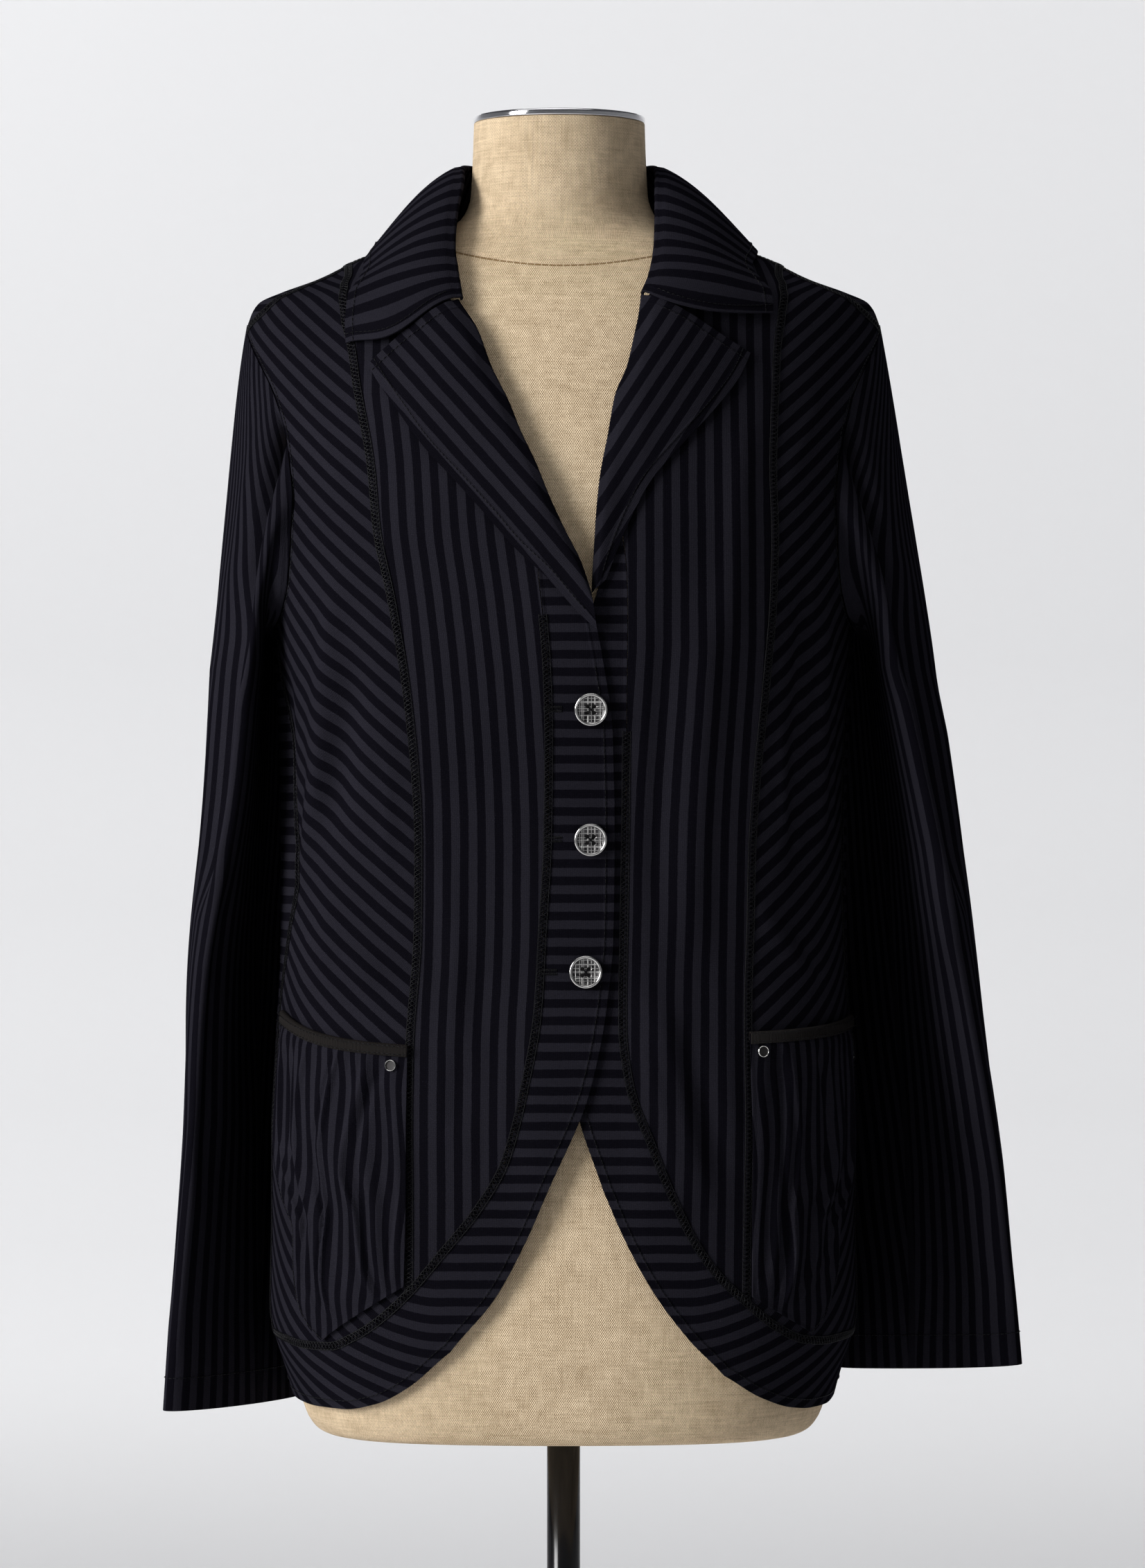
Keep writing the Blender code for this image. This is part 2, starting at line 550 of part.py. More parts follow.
def front_band(side):
    """The placket, which runs on round the cutaway to the side seam."""
    seam, edge = (np.concatenate([run if i == 0 else run[1:]
                                  for i, run in enumerate(band_stretches(side, which))])
                  for which in (0, 1))
    u = np.linspace(0, 1, 3)[None, :, None]
    places = (1 - u) * seam[:, None] + u * edge[:, None]
    panel(f"front_band_{side}", places, side)


def hem_band(side):
    """The band on the back hem, from the side seam to the centre back."""
    turns = np.linspace(79.0, 180.0, 12) * SIGN[side]
    seam = np.interp(abs(turns), [79.0, 149.0], [HEM_SEAM, HEM_SEAM + 0.001])
    heights = np.stack([0 * seam + HEM_EDGE, (HEM_EDGE + seam) / 2, seam], -1)
    places = np.stack([np.repeat(turns[:, None], 3, axis=1), heights], -1)
    panel(f"hem_band_{side}", places, side, rims="btr")


def turned_back(name, fold, normals, towards, flap, flap_normals, lift, finish):
    """A flap that turns back on itself: an arc at the fold line, then the flap over what it lies on."""
    arcs = np.radians([-90, -140, 180, 140, 90])
    outer, inner = [], []
    for angle in arcs:
        for radius, rows in ((FOLD_RADIUS + CLOTH, outer), (FOLD_RADIUS, inner)):
            along = radius * np.cos(angle)
            up = FOLD_RADIUS + radius * np.sin(angle)
            rows.append(fold + towards * along + normals * up)
    for column in range(flap.shape[1]):
        base = flap[:, column] + flap_normals[:, column] * lift[:, column, None]
        outer.append(base + flap_normals[:, column] * CLOTH)
        inner.append(base)
    return wall(name, np.stack(outer, 1), np.stack(inner, 1), finish)


def lapel(side):
    count = 11
    roll = sample(ROLL[side], count)
    edge = sample(LAPEL_EDGE[side], count)
    top = sample(GORGE[side], 6)
    bottom = sample([roll[0], edge[0]], 6)
    roll[-1] = top[0]
    places = patch(bottom, top, roll, edge)
    turn, height = places[..., 0], places[..., 1]
    surface = skin(turn, height, 0.0, side)
    normals = outward(turn, height)
    towards = unit(surface[:, 1] - surface[:, 0])
    width = np.linalg.norm(surface[:, -1] - surface[:, 0], axis=1)[:, None]
    share = np.linspace(0, 1, 7)[None, 1:]
    rise = LAPEL_RISE * np.minimum(1, width / 0.06) * np.sin(np.pi * share**0.55)
    lift = LAYER_GAP + (2 * FOLD_RADIUS - LAYER_GAP) * (1 - step(share * 1.3)) + rise
    turned_back(f"lapel_{side}", surface[:, 0] - towards * FOLD_SETBACK, normals[:, 0], towards,
                surface[:, 1:], normals[:, 1:], lift, cloth)


def collar_lines():
    """The collar's fold, edge and stand seam all the way round, from right front to left front."""
    whole = COLLAR["right"][::-1] + COLLAR["left"][1:]
    fold = np.array([row[0] for row in whole])
    turns = np.array([row[1] for row in whole])
    stand = np.array([row[2] for row in whole])
    for line in (turns, stand):
        line[:9, 0] = np.where(line[:9, 0] > 0, line[:9, 0] - 360, line[:9, 0])
        line[10:, 0] -= 360
    return fold, turns, stand


# How the collar's front ends bow down to the lapels: how far, where the most is, how full
COLLAR_BOW = {"right": (0.0115, 1.20, 1.6), "left": (0.0125, 0.85, 1.0)}


def collar():
    """The fall, which turns over at the fold line, and the stand that holds it up."""
    fold, turns, stand = collar_lines()
    edge = body(turns[:, 0], turns[:, 1]) + outward(turns[:, 0], turns[:, 1]) * CLOTH
    seam = body(stand[:, 0], stand[:, 1]) + outward(stand[:, 0], stand[:, 1]) * STAND_LIFT
    along = unit(np.gradient(fold, axis=0))
    towards = unit(edge - fold)
    normals = unit(np.cross(along, towards))
    share = np.linspace(0, 1, 6)[None, 1:, None]
    line = fold[:, None] + share * (edge - fold)[:, None]
    for end, side, way in ((0, "right", -1), (-1, "left", 1)):
        size, lean, fullness = COLLAR_BOW[side]
        line[end] += along[end] * way * size * np.sin(np.pi * share[0]**lean) ** fullness
    away = outward(turns[:, 0], turns[:, 1])[:, None]
    across = unit(normals[:, None] * (1 - share) + away * share)
    down = np.repeat(np.linspace(0, 1, 6)[None, 1:], len(fold), axis=0)
    lift = COLLAR_RISE * np.sin(np.pi * down**0.75) + 2 * FOLD_RADIUS * (1 - down)
    lift[[0, -1]] += COLLAR_CLEAR * np.sin(np.pi * down[[0, -1]])
    turned_back("collar_fall", fold, normals, towards, line, across, lift, cloth)
    top = fold + towards * (SEAM_GAP + FOLD_RADIUS) - normals * STAND_TUCK
    height = np.linalg.norm(top - seam, axis=1)
    keep = np.flatnonzero(height > 0.010)
    top, seam = top[keep], seam[keep]
    share = np.linspace(0, 1, 4)[None, :, None]
    outer = seam[:, None] * (1 - share) + top[:, None] * share
    inward = unit(np.cross(unit(np.gradient(seam, axis=0))[:, None], unit(top - seam)[:, None]))
    centre = np.array([NECK_X, RIDGE_Y, 1.52])
    facing = np.sign(np.sum((centre - outer[:, :1]) * inward, axis=-1, keepdims=True))
    wall("collar_stand", outer, outer + inward * facing * CLOTH, cloth)


def pocket(side):
    """The pocket's front piece with its bound mouth, laid on the side front."""
    inner = sample(POCKET_INNER[side], 8)
    outer = sample(POCKET_OUTER[side], 8)
    columns = 16
    bottom = sample([inner[-1], ((inner[-1] + outer[-1]) / 2 - (0, 0.001)), outer[-1]], columns)
    mouth = sample([inner[0], outer[0]], columns)
    share = np.linspace(0, 1, columns + 1)
    mouth[:, 1] -= POCKET_MOUTH_DIP[side] * np.sin(np.pi * share)
    places = patch(mouth, bottom, inner, outer)
    down = np.linspace(0, 1, 9)[:, None]
    pucker = np.sin(2 * np.pi * PUCKER_COUNT * share[None] + 1.7 * np.sin(5 * share[None]))
    ripple = PUCKER_DEPTH * (1 + pucker) * (0.35 + 0.65 * step(down * 2)) * step((1 - down) * 4)
    lift = CLOTH + LAYER_GAP + ripple
    panel(f"pocket_{side}", places, side, lift)
    width = BINDING_WIDTH * np.linspace(0, 1, 3)[:, None]
    tape_places = np.repeat(mouth[None], 3, axis=0)
    tape_places[..., 1] += 0.0010 - width
    tape_lift = 2 * CLOTH + 2 * LAYER_GAP + SEAM_GAP
    panel(f"pocket_binding_{side}", tape_places, side, tape_lift, "lr", tape)


def sleeve_ring(side, row, count):
    """A flattened oval of the sleeve: from its inside over its front to its outside and back."""
    height, x, y, wide, deep, turned, curve = row
    angle = np.radians(turned)
    way = SIGN[side]
    to_front = np.array([way * np.sin(angle), -np.cos(angle)])
    to_outside = np.array([way * np.cos(angle), np.sin(angle)])
    round_it = 2 * np.pi * np.arange(count) / count
    flat = np.array([way * x, y]) + np.outer(wide * np.sin(round_it), to_front)
    inwards = curve * np.where(np.sin(round_it) < 0, BACK_CURVE, 1.0) * np.sin(round_it) ** 2
    flat = flat - np.outer(deep * np.cos(round_it) + inwards, to_outside)
    return np.column_stack([flat, np.full(count, height)])


def sleeve(side):
    """A tube from the armhole to the cuff: its cap leaves the armhole sideways and turns down."""
    half, cap_rows, lower_rows = 10, 6, 12
    count = 2 * half
    armhole = np.concatenate([sample(ARMHOLE_FRONT[side], half)[:-1],
                              sample(armhole_back(side), half)[:-1]])
    start = skin(armhole[:, 0], armhole[:, 1], LAYER_GAP, side)
    along = np.roll(start, -1, axis=0) - np.roll(start, 1, axis=0)
    inwards = np.cross(along, outward(armhole[:, 0], armhole[:, 1]))
    inwards *= np.sign(np.sum(inwards * (start.mean(axis=0) - start)))
    start += unit(inwards) * 3 * SEAM_GAP
    table = SLEEVE[side]
    end = sleeve_ring(side, table[0], count)
    reach = np.linalg.norm(end - start, axis=1)[:, None]
    high = np.clip((start[:, 2:] - CAP_HEIGHTS[0]) / (CAP_HEIGHTS[1] - CAP_HEIGHTS[0]), 0, 1)
    aside = SIGN[side] * (0.5 - 0.4 * high)
    leave = outward(armhole[:, 0], armhole[:, 1]) * (1 - 0.75 * high)
    leave = unit(leave + np.hstack([aside, 0 * high, -0.25 - 1.6 * high]))
    arrive = unit(np.array([SIGN[side] * 0.12, 0, -1.0]))
    rows = []
    for t in np.linspace(0, 1, cap_rows + 1):
        place = (2 * t**3 - 3 * t**2 + 1) * start + (-2 * t**3 + 3 * t**2) * end
        place = place + (t**3 - 2 * t**2 + t) * CAP_REACH[0] * reach * leave
        rows.append(place + (t**3 - t**2) * CAP_REACH[1] * reach * arrive)
    heights = np.linspace(table[0, 0], table[-1, 0], lower_rows + 1)[1:]
    columns = [smooth_column(table[::-1], c) for c in range(1, 7)]
    for height in heights:
        rows.append(sleeve_ring(side, (height, *(column(height) for column in columns)), count))
    outer = np.array(rows)
    reach_down = step((1.0 - outer[..., 2]) / 0.20)
    outer[..., 2] += SLEEVE_CUFF_RISE[side] * reach_down * (abs(outer[..., 0]) - table[-1, 1])
    normals = tube_normals(outer)
    around = np.degrees(2 * np.pi * np.arange(count) / count)
    for place, top, bottom, width, depth in SLEEVE_FOLDS[side]:
        apart = np.exp(-(((around - place) / width) ** 2))[None]
        middle = outer[..., 2]
        fade = step((top - middle) / 0.05) * step((middle - bottom) / 0.05)
        outer = outer + normals * (depth * apart * fade)[..., None]
    wall(f"sleeve_{side}", outer, outer - tube_normals(outer) * CLOTH, cloth, tube=True)


def tube_normals(grid):
    """Outward unit normals of a tube of rings."""
    round_it = np.roll(grid, -1, axis=1) - np.roll(grid, 1, axis=1)
    down = np.gradient(grid, axis=0)
    normals = unit(np.cross(round_it, down))
    middle = grid.mean(axis=1, keepdims=True)
    return normals * np.sign(np.sum(normals * (grid - middle)))


def turned(name, profile, finish, sides=40, place=None):
    """A turned solid from a closed outline of radius, height about a place's upright axis."""
    points, faces = [], []
    count = len(profile)
    for s in range(sides):
        angle = 2 * np.pi * s / sides
        for radius, height in profile:
            points.append((radius * np.cos(angle), radius * np.sin(angle), height))
    for s in range(sides):
        after = (s + 1) % sides
        for i in range(count - 1):
            faces.append((s * count + i, after * count + i, after * count + i + 1, s * count + i + 1))
    made = add(name, place_on(np.array(points), place), faces, finish)
    shape = bmesh.new()
    shape.from_mesh(made.data)
    bmesh.ops.remove_doubles(shape, verts=shape.verts, dist=1e-6)
    bmesh.ops.dissolve_degenerate(shape, edges=shape.edges, dist=1e-6)
    bmesh.ops.recalc_face_normals(shape, faces=shape.faces)
    shape.to_mesh(made.data)
    shape.free()
    return made


def place_on(points, place):
    """Stands points made about +Z on a place of the garment: origin and outward axis."""
    if place is None:
        return points
    origin, axis = place
    side = unit(np.cross((0.0, 0.0, 1.0), axis))
    up = np.cross(axis, side)
    return origin + points[:, :1] * side + points[:, 1:2] * up + points[:, 2:] * axis


def resting_place(spot, side, lift):
    turn, height = (np.array([value]) for value in spot)
    return skin(turn, height, lift, side)[0], outward(turn, height)[0]


def trims():
    dish = [(0, 0), (0.84, 0), (1.0, 0.45), (1.0, 0.75), (0.93, 1.0), (0.84, 1.0), (0.78, 0.72), (0, 0.66)]
    for number, spot in enumerate(BUTTONS, 1):
        place = resting_place(spot, "right", 3 * SEAM_GAP)
        profile = [(r * BUTTON_RADIUS, h * BUTTON_THICKNESS) for r, h in dish]
        turned(f"button_{number}", profile, gunmetal, 20, place)
    stud = [(0, 0), (1.0, 0), (1.0, 0.0009), (0.82, 0.0018), (0.62, 0.0018), (0.5, 0.0013), (0, 0.0013)]
    for side, spot in RIVETS.items():
        place = resting_place(spot, side, CLOTH + 2 * LAYER_GAP + PUCKER_DEPTH / 2)
        turned(f"rivet_{side}", [(r * RIVET_RADIUS, h) for r, h in stud], gunmetal, 12, place)
    plate = [(0, 0), (0.9, 0), (1.0, 0.0007), (1.0, 0.0013), (0.92, 0.0020), (0, 0.0020)]
    place = resting_place(BADGE, "left", 2 * SEAM_GAP)
    turned("badge", [(r * BADGE_RADIUS, h) for r, h in plate], gunmetal, 16, place)


def dress_form():
    """A limbless torso with a neck, which carries the blazer on its shoulders."""
    count = 32
    turns = np.linspace(-180, 180, count, endpoint=False)
    rims = [(0.0, 0.86), (0.0012, 0.94), (0.005, 0.975), (0.012, 0.992), (0.024, 1.0)]
    heights = np.concatenate([np.linspace(0.82, 1.42, 11), [1.440, 1.452, 1.460, 1.467, 1.475,
                                                           1.484, 1.492, 1.4985]])
    rings = []
    for rise, scale in rims:
        height = np.full(count, FORM_BOTTOM + rise)
        ring = body(turns, height) - outward(turns, height) * ease_at(height)[:, None]
        ring[:, 2] = FORM_BOTTOM + rise
        middle = np.array([0, RIDGE_Y, FORM_BOTTOM + rise])
        rings.append(middle + (ring - middle) * (scale, scale, 1))
    for value in heights:
        height = np.full(count, value)
        rings.append(body(turns, height) - outward(turns, height) * ease_at(height)[:, None])
    angle = np.radians(turns)
    neck_y = RIDGE_Y + 0.0065
    for height, radius, aside in ((1.5035, 0.0640, 0.0085), (1.5130, 0.0570, 0.0025),
                                  (1.5260, 0.0545, 0.0), (1.5500, 0.0532, 0.0),
                                  (NECK_TOP, NECK_RADIUS, 0.0)):
        x = NECK_X + (radius + aside) * np.sin(angle)
        y = neck_y - min(radius, 0.0545) * np.cos(angle)
        rings.append(np.column_stack([x, y, np.full(count, height)]))
    rings = np.array(rings)
    last = len(rings) - 1
    faces = [tuple(range(count)), tuple(last * count + c for c in range(count))]
    for r in range(last):
        for c in range(count):
            after = (c + 1) % count
            faces.append((r * count + c, r * count + after, (r + 1) * count + after, (r + 1) * count + c))
    add("form_torso", rings.reshape(-1, 3), faces, linen)
    rim, top = NECK_RADIUS + 0.0002, NECK_TOP + SEAM_GAP
    cap = [(0, top), (rim - 0.0010, top), (rim, top + 0.0010), (rim, top + CAP_THICKNESS - 0.0012),
           (rim - 0.0012, top + CAP_THICKNESS), (rim - 0.0060, top + CAP_THICKNESS + 0.0004),
           (0, top + CAP_THICKNESS + 0.0008)]
    made = turned("neck_cap", cap, chrome, 32)
    for vertex in made.data.vertices:
        vertex.co.x += NECK_X
        vertex.co.y += neck_y


def stand():
    bore = POLE_RADIUS + SEAM_GAP
    base = [(0, 0), (BASE_RADIUS - 0.002, 0), (BASE_RADIUS, 0.002), (BASE_RADIUS, BASE_THICKNESS - 0.003),
            (BASE_RADIUS - 0.003, BASE_THICKNESS), (SOCKET_RADIUS + 0.006, BASE_THICKNESS + 0.003),
            (SOCKET_RADIUS, BASE_THICKNESS + 0.009), (SOCKET_RADIUS - 0.003, SOCKET_HEIGHT - 0.002),
            (SOCKET_RADIUS - 0.005, SOCKET_HEIGHT), (bore, SOCKET_HEIGHT), (bore, BASE_THICKNESS),
            (0, BASE_THICKNESS)]
    turned("base", base, black_paint, 36)
    foot = BASE_THICKNESS + SEAM_GAP
    head = FORM_BOTTOM - SEAM_GAP
    turned("pole", [(0, foot), (POLE_RADIUS, foot), (POLE_RADIUS, head), (0, head)], black_paint, 20)


for worn_side in ("right", "left"):
    centre_front(worn_side)
    side_front(worn_side)
    side_back(worn_side)
    back(worn_side)
    front_band(worn_side)
    hem_band(worn_side)
    lapel(worn_side)
    pocket(worn_side)
    sleeve(worn_side)
collar()
trims()
dress_form()
stand()
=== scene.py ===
# %% [markdown]
# # A striped blazer on a linen dress form
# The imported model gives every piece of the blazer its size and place, as coarse closed solids. This
# lesson dresses that model: it cuts each piece again as a thin, finely divided shell on the same
# surface, gives the cloth its stripes and its stitching, and lights it like a studio picture.

import bmesh
import bpy
import numpy as np
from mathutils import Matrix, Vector


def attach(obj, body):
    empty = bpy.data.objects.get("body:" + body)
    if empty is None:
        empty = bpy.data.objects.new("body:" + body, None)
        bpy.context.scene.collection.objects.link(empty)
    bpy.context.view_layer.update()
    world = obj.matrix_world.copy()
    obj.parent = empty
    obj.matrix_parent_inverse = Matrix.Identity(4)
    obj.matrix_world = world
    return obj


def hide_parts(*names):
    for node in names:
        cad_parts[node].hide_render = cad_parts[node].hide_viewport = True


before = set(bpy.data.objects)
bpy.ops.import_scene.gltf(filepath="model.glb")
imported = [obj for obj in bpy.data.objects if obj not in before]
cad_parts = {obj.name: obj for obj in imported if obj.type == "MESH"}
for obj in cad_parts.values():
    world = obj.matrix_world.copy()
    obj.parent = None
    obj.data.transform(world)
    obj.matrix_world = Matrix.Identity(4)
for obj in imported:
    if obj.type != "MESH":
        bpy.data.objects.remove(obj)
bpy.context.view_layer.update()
print("CAD nodes:", len(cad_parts))

# %% [markdown]
# A garment on a body is a wrapped surface. Two numbers find a place on it: the turn round the body
# in degrees (0 is the centre front, positive is the wearer's left) and the height in metres. All
# pieces share this surface, so their edges meet as sewn edges do.

# %% Sizes of the garment's surface
CLOTH = 0.0018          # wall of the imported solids
THIN = 0.0012           # wall of the cloth shown here
RIM_PULL = 0.0002       # how far a piece stops short of its seam line
LAYER_GAP = 0.0008      # between a piece and the panel that it lies on
LAP = 0.0014            # how far the fronts move out and in where one lies on the other
NECK_X = -0.0026        # the neck's axis
BUST_HEIGHT = 1.26
RIDGE_Y = 0.005         # depth at which the sections are widest
RIM_REACH = 8           # how fast a panel's rows lose the bow of its bottom and top edge
METRES_PER_DEGREE = 0.0027
SIGN = {"right": -1.0, "left": 1.0}

# height, half_width, front, back, square
SECTIONS = np.array([
    (0.770, 0.1600, 0.124, 0.132, 0.05), (0.800, 0.1680, 0.127, 0.134, 0.05),
    (0.848, 0.1800, 0.130, 0.136, 0.05), (0.900, 0.1790, 0.129, 0.134, 0.05),
    (0.950, 0.1790, 0.128, 0.130, 0.05), (1.000, 0.1770, 0.125, 0.124, 0.05),
    (1.060, 0.1740, 0.121, 0.117, 0.05), (1.110, 0.1735, 0.121, 0.113, 0.05),
    (1.170, 0.1740, 0.127, 0.114, 0.05), (1.220, 0.1760, 0.134, 0.117, 0.05),
    (1.260, 0.1780, 0.136, 0.119, 0.05), (1.300, 0.1800, 0.132, 0.120, 0.045),
    (1.350, 0.1840, 0.120, 0.117, 0.03), (1.400, 0.1900, 0.104, 0.107, 0.02),
    (1.440, 0.1950, 0.090, 0.096, 0.0), (1.452, 0.1920, 0.084, 0.092, 0.0),
    (1.460, 0.1870, 0.080, 0.089, 0.0), (1.466, 0.1740, 0.077, 0.087, 0.0),
    (1.474, 0.1520, 0.072, 0.084, 0.0), (1.484, 0.1310, 0.065, 0.080, 0.0),
    (1.492, 0.1110, 0.058, 0.077, 0.0), (1.500, 0.0920, 0.051, 0.073, 0.0),
    (1.508, 0.0780, 0.044, 0.069, 0.0),
])
# height, how far the dress form lies inside the garment
EASE = np.array([
    (0.770, 0.0040), (0.800, 0.0050), (0.900, 0.0070), (1.000, 0.0085), (1.300, 0.0085),
    (1.400, 0.0078), (1.440, 0.0070), (1.452, 0.0064), (1.462, 0.0064), (1.484, 0.0052),
    (1.508, 0.0042),
])

# %% A smooth curve through a table
def hermite(t, start, end, leave, arrive):
    """A curve by its two ends and its directions there."""
    first = (2 * t**3 - 3 * t**2 + 1) * start + (t**3 - 2 * t**2 + t) * leave
    return first + ((-2 * t**3 + 3 * t**2) * end + (t**3 - t**2) * arrive)


def smooth_column(table, column):
    """A curve through one column of a table, with no overshoot between its rows."""
    xs, ys = table[:, 0], table[:, column]
    gaps = np.diff(xs)
    slopes = np.diff(ys) / gaps
    tangents = np.concatenate([[slopes[0]], np.zeros(len(xs) - 2), [slopes[-1]]])
    for i in range(1, len(xs) - 1):
        if slopes[i - 1] * slopes[i] > 0:
            a = 2 * gaps[i] + gaps[i - 1]
            b = gaps[i] + 2 * gaps[i - 1]
            tangents[i] = (a + b) / (a / slopes[i - 1] + b / slopes[i])

    def at(x):
        x = np.clip(x, xs[0], xs[-1])
        i = np.clip(np.searchsorted(xs, x) - 1, 0, len(gaps) - 1)
        t = (x - xs[i]) / gaps[i]
        return hermite(t, ys[i], ys[i + 1], gaps[i] * tangents[i], gaps[i] * tangents[i + 1])

    return at


half_width, front_depth, back_depth, squareness = (smooth_column(SECTIONS, c) for c in (1, 2, 3, 4))
ease_at = smooth_column(EASE, 1)

# %% [markdown]
# Cloth that hangs on a form is never even: it buckles where the bust ends, at the waist and above
# the pockets. A few large creases are placed one by one, and many small ones follow between them. Each
# is a soft ridge or trough along a line, a bell curve across and fading at its ends.

# %% Creases of the body
# Large ones, which the solids have too: turn_1, height_1, turn_2, height_2, half_width, depth
FOLDS = np.array([
    (-43, 1.285, -57, 1.115, 0.011, 0.0045), (-38, 1.240, -47, 1.140, 0.012, -0.0040),
    (-66, 1.235, -68, 1.130, 0.010, -0.0035), (-52, 1.085, -33, 1.048, 0.008, 0.0022),
    (-14, 1.060, -17, 0.960, 0.010, -0.0020), (47, 1.285, 47, 1.105, 0.007, -0.0040),
    (56, 1.270, 57, 1.120, 0.010, 0.0035), (36, 1.090, 50, 1.050, 0.008, 0.0020),
    (15, 1.040, 23, 0.920, 0.008, 0.0030), (20, 1.020, 26, 0.930, 0.008, -0.0025),
    (108, 1.230, 128, 1.120, 0.012, -0.0035), (-112, 1.210, -130, 1.110, 0.013, -0.0035),
    (140, 1.180, 172, 1.130, 0.010, 0.0030), (-138, 1.150, -170, 1.105, 0.010, 0.0028),
    (128, 1.050, 131, 0.880, 0.014, 0.0035), (-120, 1.040, -124, 0.890, 0.014, 0.0035),
    (160, 1.030, 163, 0.870, 0.013, -0.0030), (-160, 1.020, -158, 0.900, 0.013, -0.0028),
])
# Small ones, for the shown cloth alone, in the same columns
SMALL_FOLDS = np.array([
    (-47, 1.205, -52, 1.150, 0.005, 0.0016), (-55, 1.180, -62, 1.120, 0.005, -0.0014),
    (-58, 1.075, -44, 1.043, 0.004, 0.0012), (-49, 1.062, -36, 1.030, 0.004, -0.0012),
    (-61, 1.052, -50, 1.028, 0.004, 0.0010), (-31, 1.190, -32, 1.110, 0.004, 0.0008),
    (-18, 1.080, -20, 0.960, 0.005, 0.0009), (-11, 1.020, -13, 0.930, 0.005, -0.0010),
    (-52, 1.400, -42, 1.340, 0.007, 0.0010), (-60, 1.300, -47, 1.270, 0.006, 0.0012),
    (42, 1.200, 44, 1.130, 0.004, 0.0012), (52, 1.240, 51, 1.110, 0.004, -0.0014),
    (62, 1.230, 64, 1.130, 0.006, 0.0014), (45, 1.080, 58, 1.046, 0.004, -0.0012),
    (13, 1.010, 19, 0.930, 0.004, 0.0012), (27, 1.060, 29, 0.950, 0.005, 0.0008),
    (52, 1.400, 43, 1.340, 0.007, 0.0010), (60, 1.300, 48, 1.272, 0.006, 0.0012),
    (118, 1.250, 150, 1.190, 0.007, 0.0014), (-120, 1.240, -152, 1.180, 0.007, 0.0014),
    (150, 1.160, 178, 1.120, 0.006, -0.0012), (-148, 1.130, -176, 1.090, 0.006, -0.0012),
    (144, 1.060, 148, 0.900, 0.006, 0.0012), (-142, 1.040, -146, 0.880, 0.006, 0.0012),
    (110, 1.080, 122, 1.040, 0.005, 0.0012), (-106, 1.070, -118, 1.030, 0.005, 0.0012),
    (100, 1.400, 130, 1.330, 0.010, 0.0012), (-100, 1.400, -130, 1.330, 0.010, 0.0012),
    (170, 1.420, 140, 1.400, 0.009, 0.0008), (-170, 1.415, -142, 1.395, 0.009, 0.0008),
    (25, 1.275, 21, 1.060, 0.011, 0.0030), (17, 1.270, 15, 1.080, 0.006, -0.0014),
    (-20, 1.120, -15, 0.990, 0.007, 0.0014), (33, 1.380, 28, 1.250, 0.008, 0.0020),
])
ALL_FOLDS = np.concatenate([FOLDS, SMALL_FOLDS])


def step(x):
    """0 below 0, 1 above 1 and an S curve between."""
    x = np.clip(x, 0, 1)
    return x * x * (3 - 2 * x)


def unit(v):
    return v / np.maximum(np.linalg.norm(v, axis=-1, keepdims=True), 1e-12)


def running(grid, axis=0):
    """How far each point lies from the first one of its row or column, measured along it."""
    total = np.zeros(grid.shape[:-1])
    later = (slice(None),) * axis + (slice(1, None),)
    total[later] = np.cumsum(np.linalg.norm(np.diff(grid, axis=axis), axis=-1), axis=axis)
    return total


def body(turn, height):
    """The plain outer surface, with no folds."""
    angle = np.radians(turn)
    k = squareness(height)
    across = (np.sin(angle) + k * np.sin(3 * angle)) / (1 - k)
    along = (np.cos(angle) - k * np.cos(3 * angle)) / (1 - k)
    depth = np.where(along > 0, front_depth(height), back_depth(height))
    return np.stack([half_width(height) * across, RIDGE_Y - depth * along, height + 0 * angle], -1)


def outward(turn, height):
    """Unit normal of the plain surface."""
    d_turn = body(turn + 0.5, height) - body(turn - 0.5, height)
    d_height = body(turn, height + 0.0004) - body(turn, height - 0.0004)
    return unit(np.cross(d_turn, d_height))


def fold_height(turn, height):
    """How far the soft folds stand out of the plain surface."""
    total = np.zeros(np.broadcast(turn, height).shape)
    for turn_1, height_1, turn_2, height_2, width, depth in ALL_FOLDS:
        along = np.array([(turn_2 - turn_1) * METRES_PER_DEGREE, height_2 - height_1])
        length = np.hypot(*along)
        here = np.stack([(turn - turn_1) * METRES_PER_DEGREE, height - height_1], -1)
        share = here @ along / length**2
        aside = (here[..., 0] * along[1] - here[..., 1] * along[0]) / length
        fade = step(share / 0.3 + 0.3) * step((1 - share) / 0.3 + 0.3)
        total = total + depth * np.exp(-((aside / width) ** 2)) * fade
    return total


def skin(turn, height, lift=0.0, side="right"):
    """A point of the garment's outer surface, moved out by lift."""
    if side == "right":
        lap = LAP * step((turn + 9) / 6)
    else:
        lap = -LAP * step((14 - turn) / 5)
    away = lift + lap + fold_height(turn, height)
    return body(turn, height) + outward(turn, height) * away[..., None]


# %% [markdown]
# Stripes belong to the flat cloth, so the pattern needs lengths along the cloth and not world
# positions. A table holds how far each place is round the body and up the body, measured on the
# surface, and the stripes are drawn in those two lengths.

# %% Lengths along the cloth
TABLE_TURNS = np.arange(-182.0, 183.0, 2.0)
TABLE_HEIGHTS = np.linspace(0.770, 1.508, 247)
turn_grid, height_grid = np.meshgrid(TABLE_TURNS, TABLE_HEIGHTS)
plain = body(turn_grid, height_grid)
ROUND_TABLE, UP_TABLE = running(plain, 1), running(plain, 0)
ROUND_TABLE -= ROUND_TABLE[:, len(TABLE_TURNS) // 2][:, None]


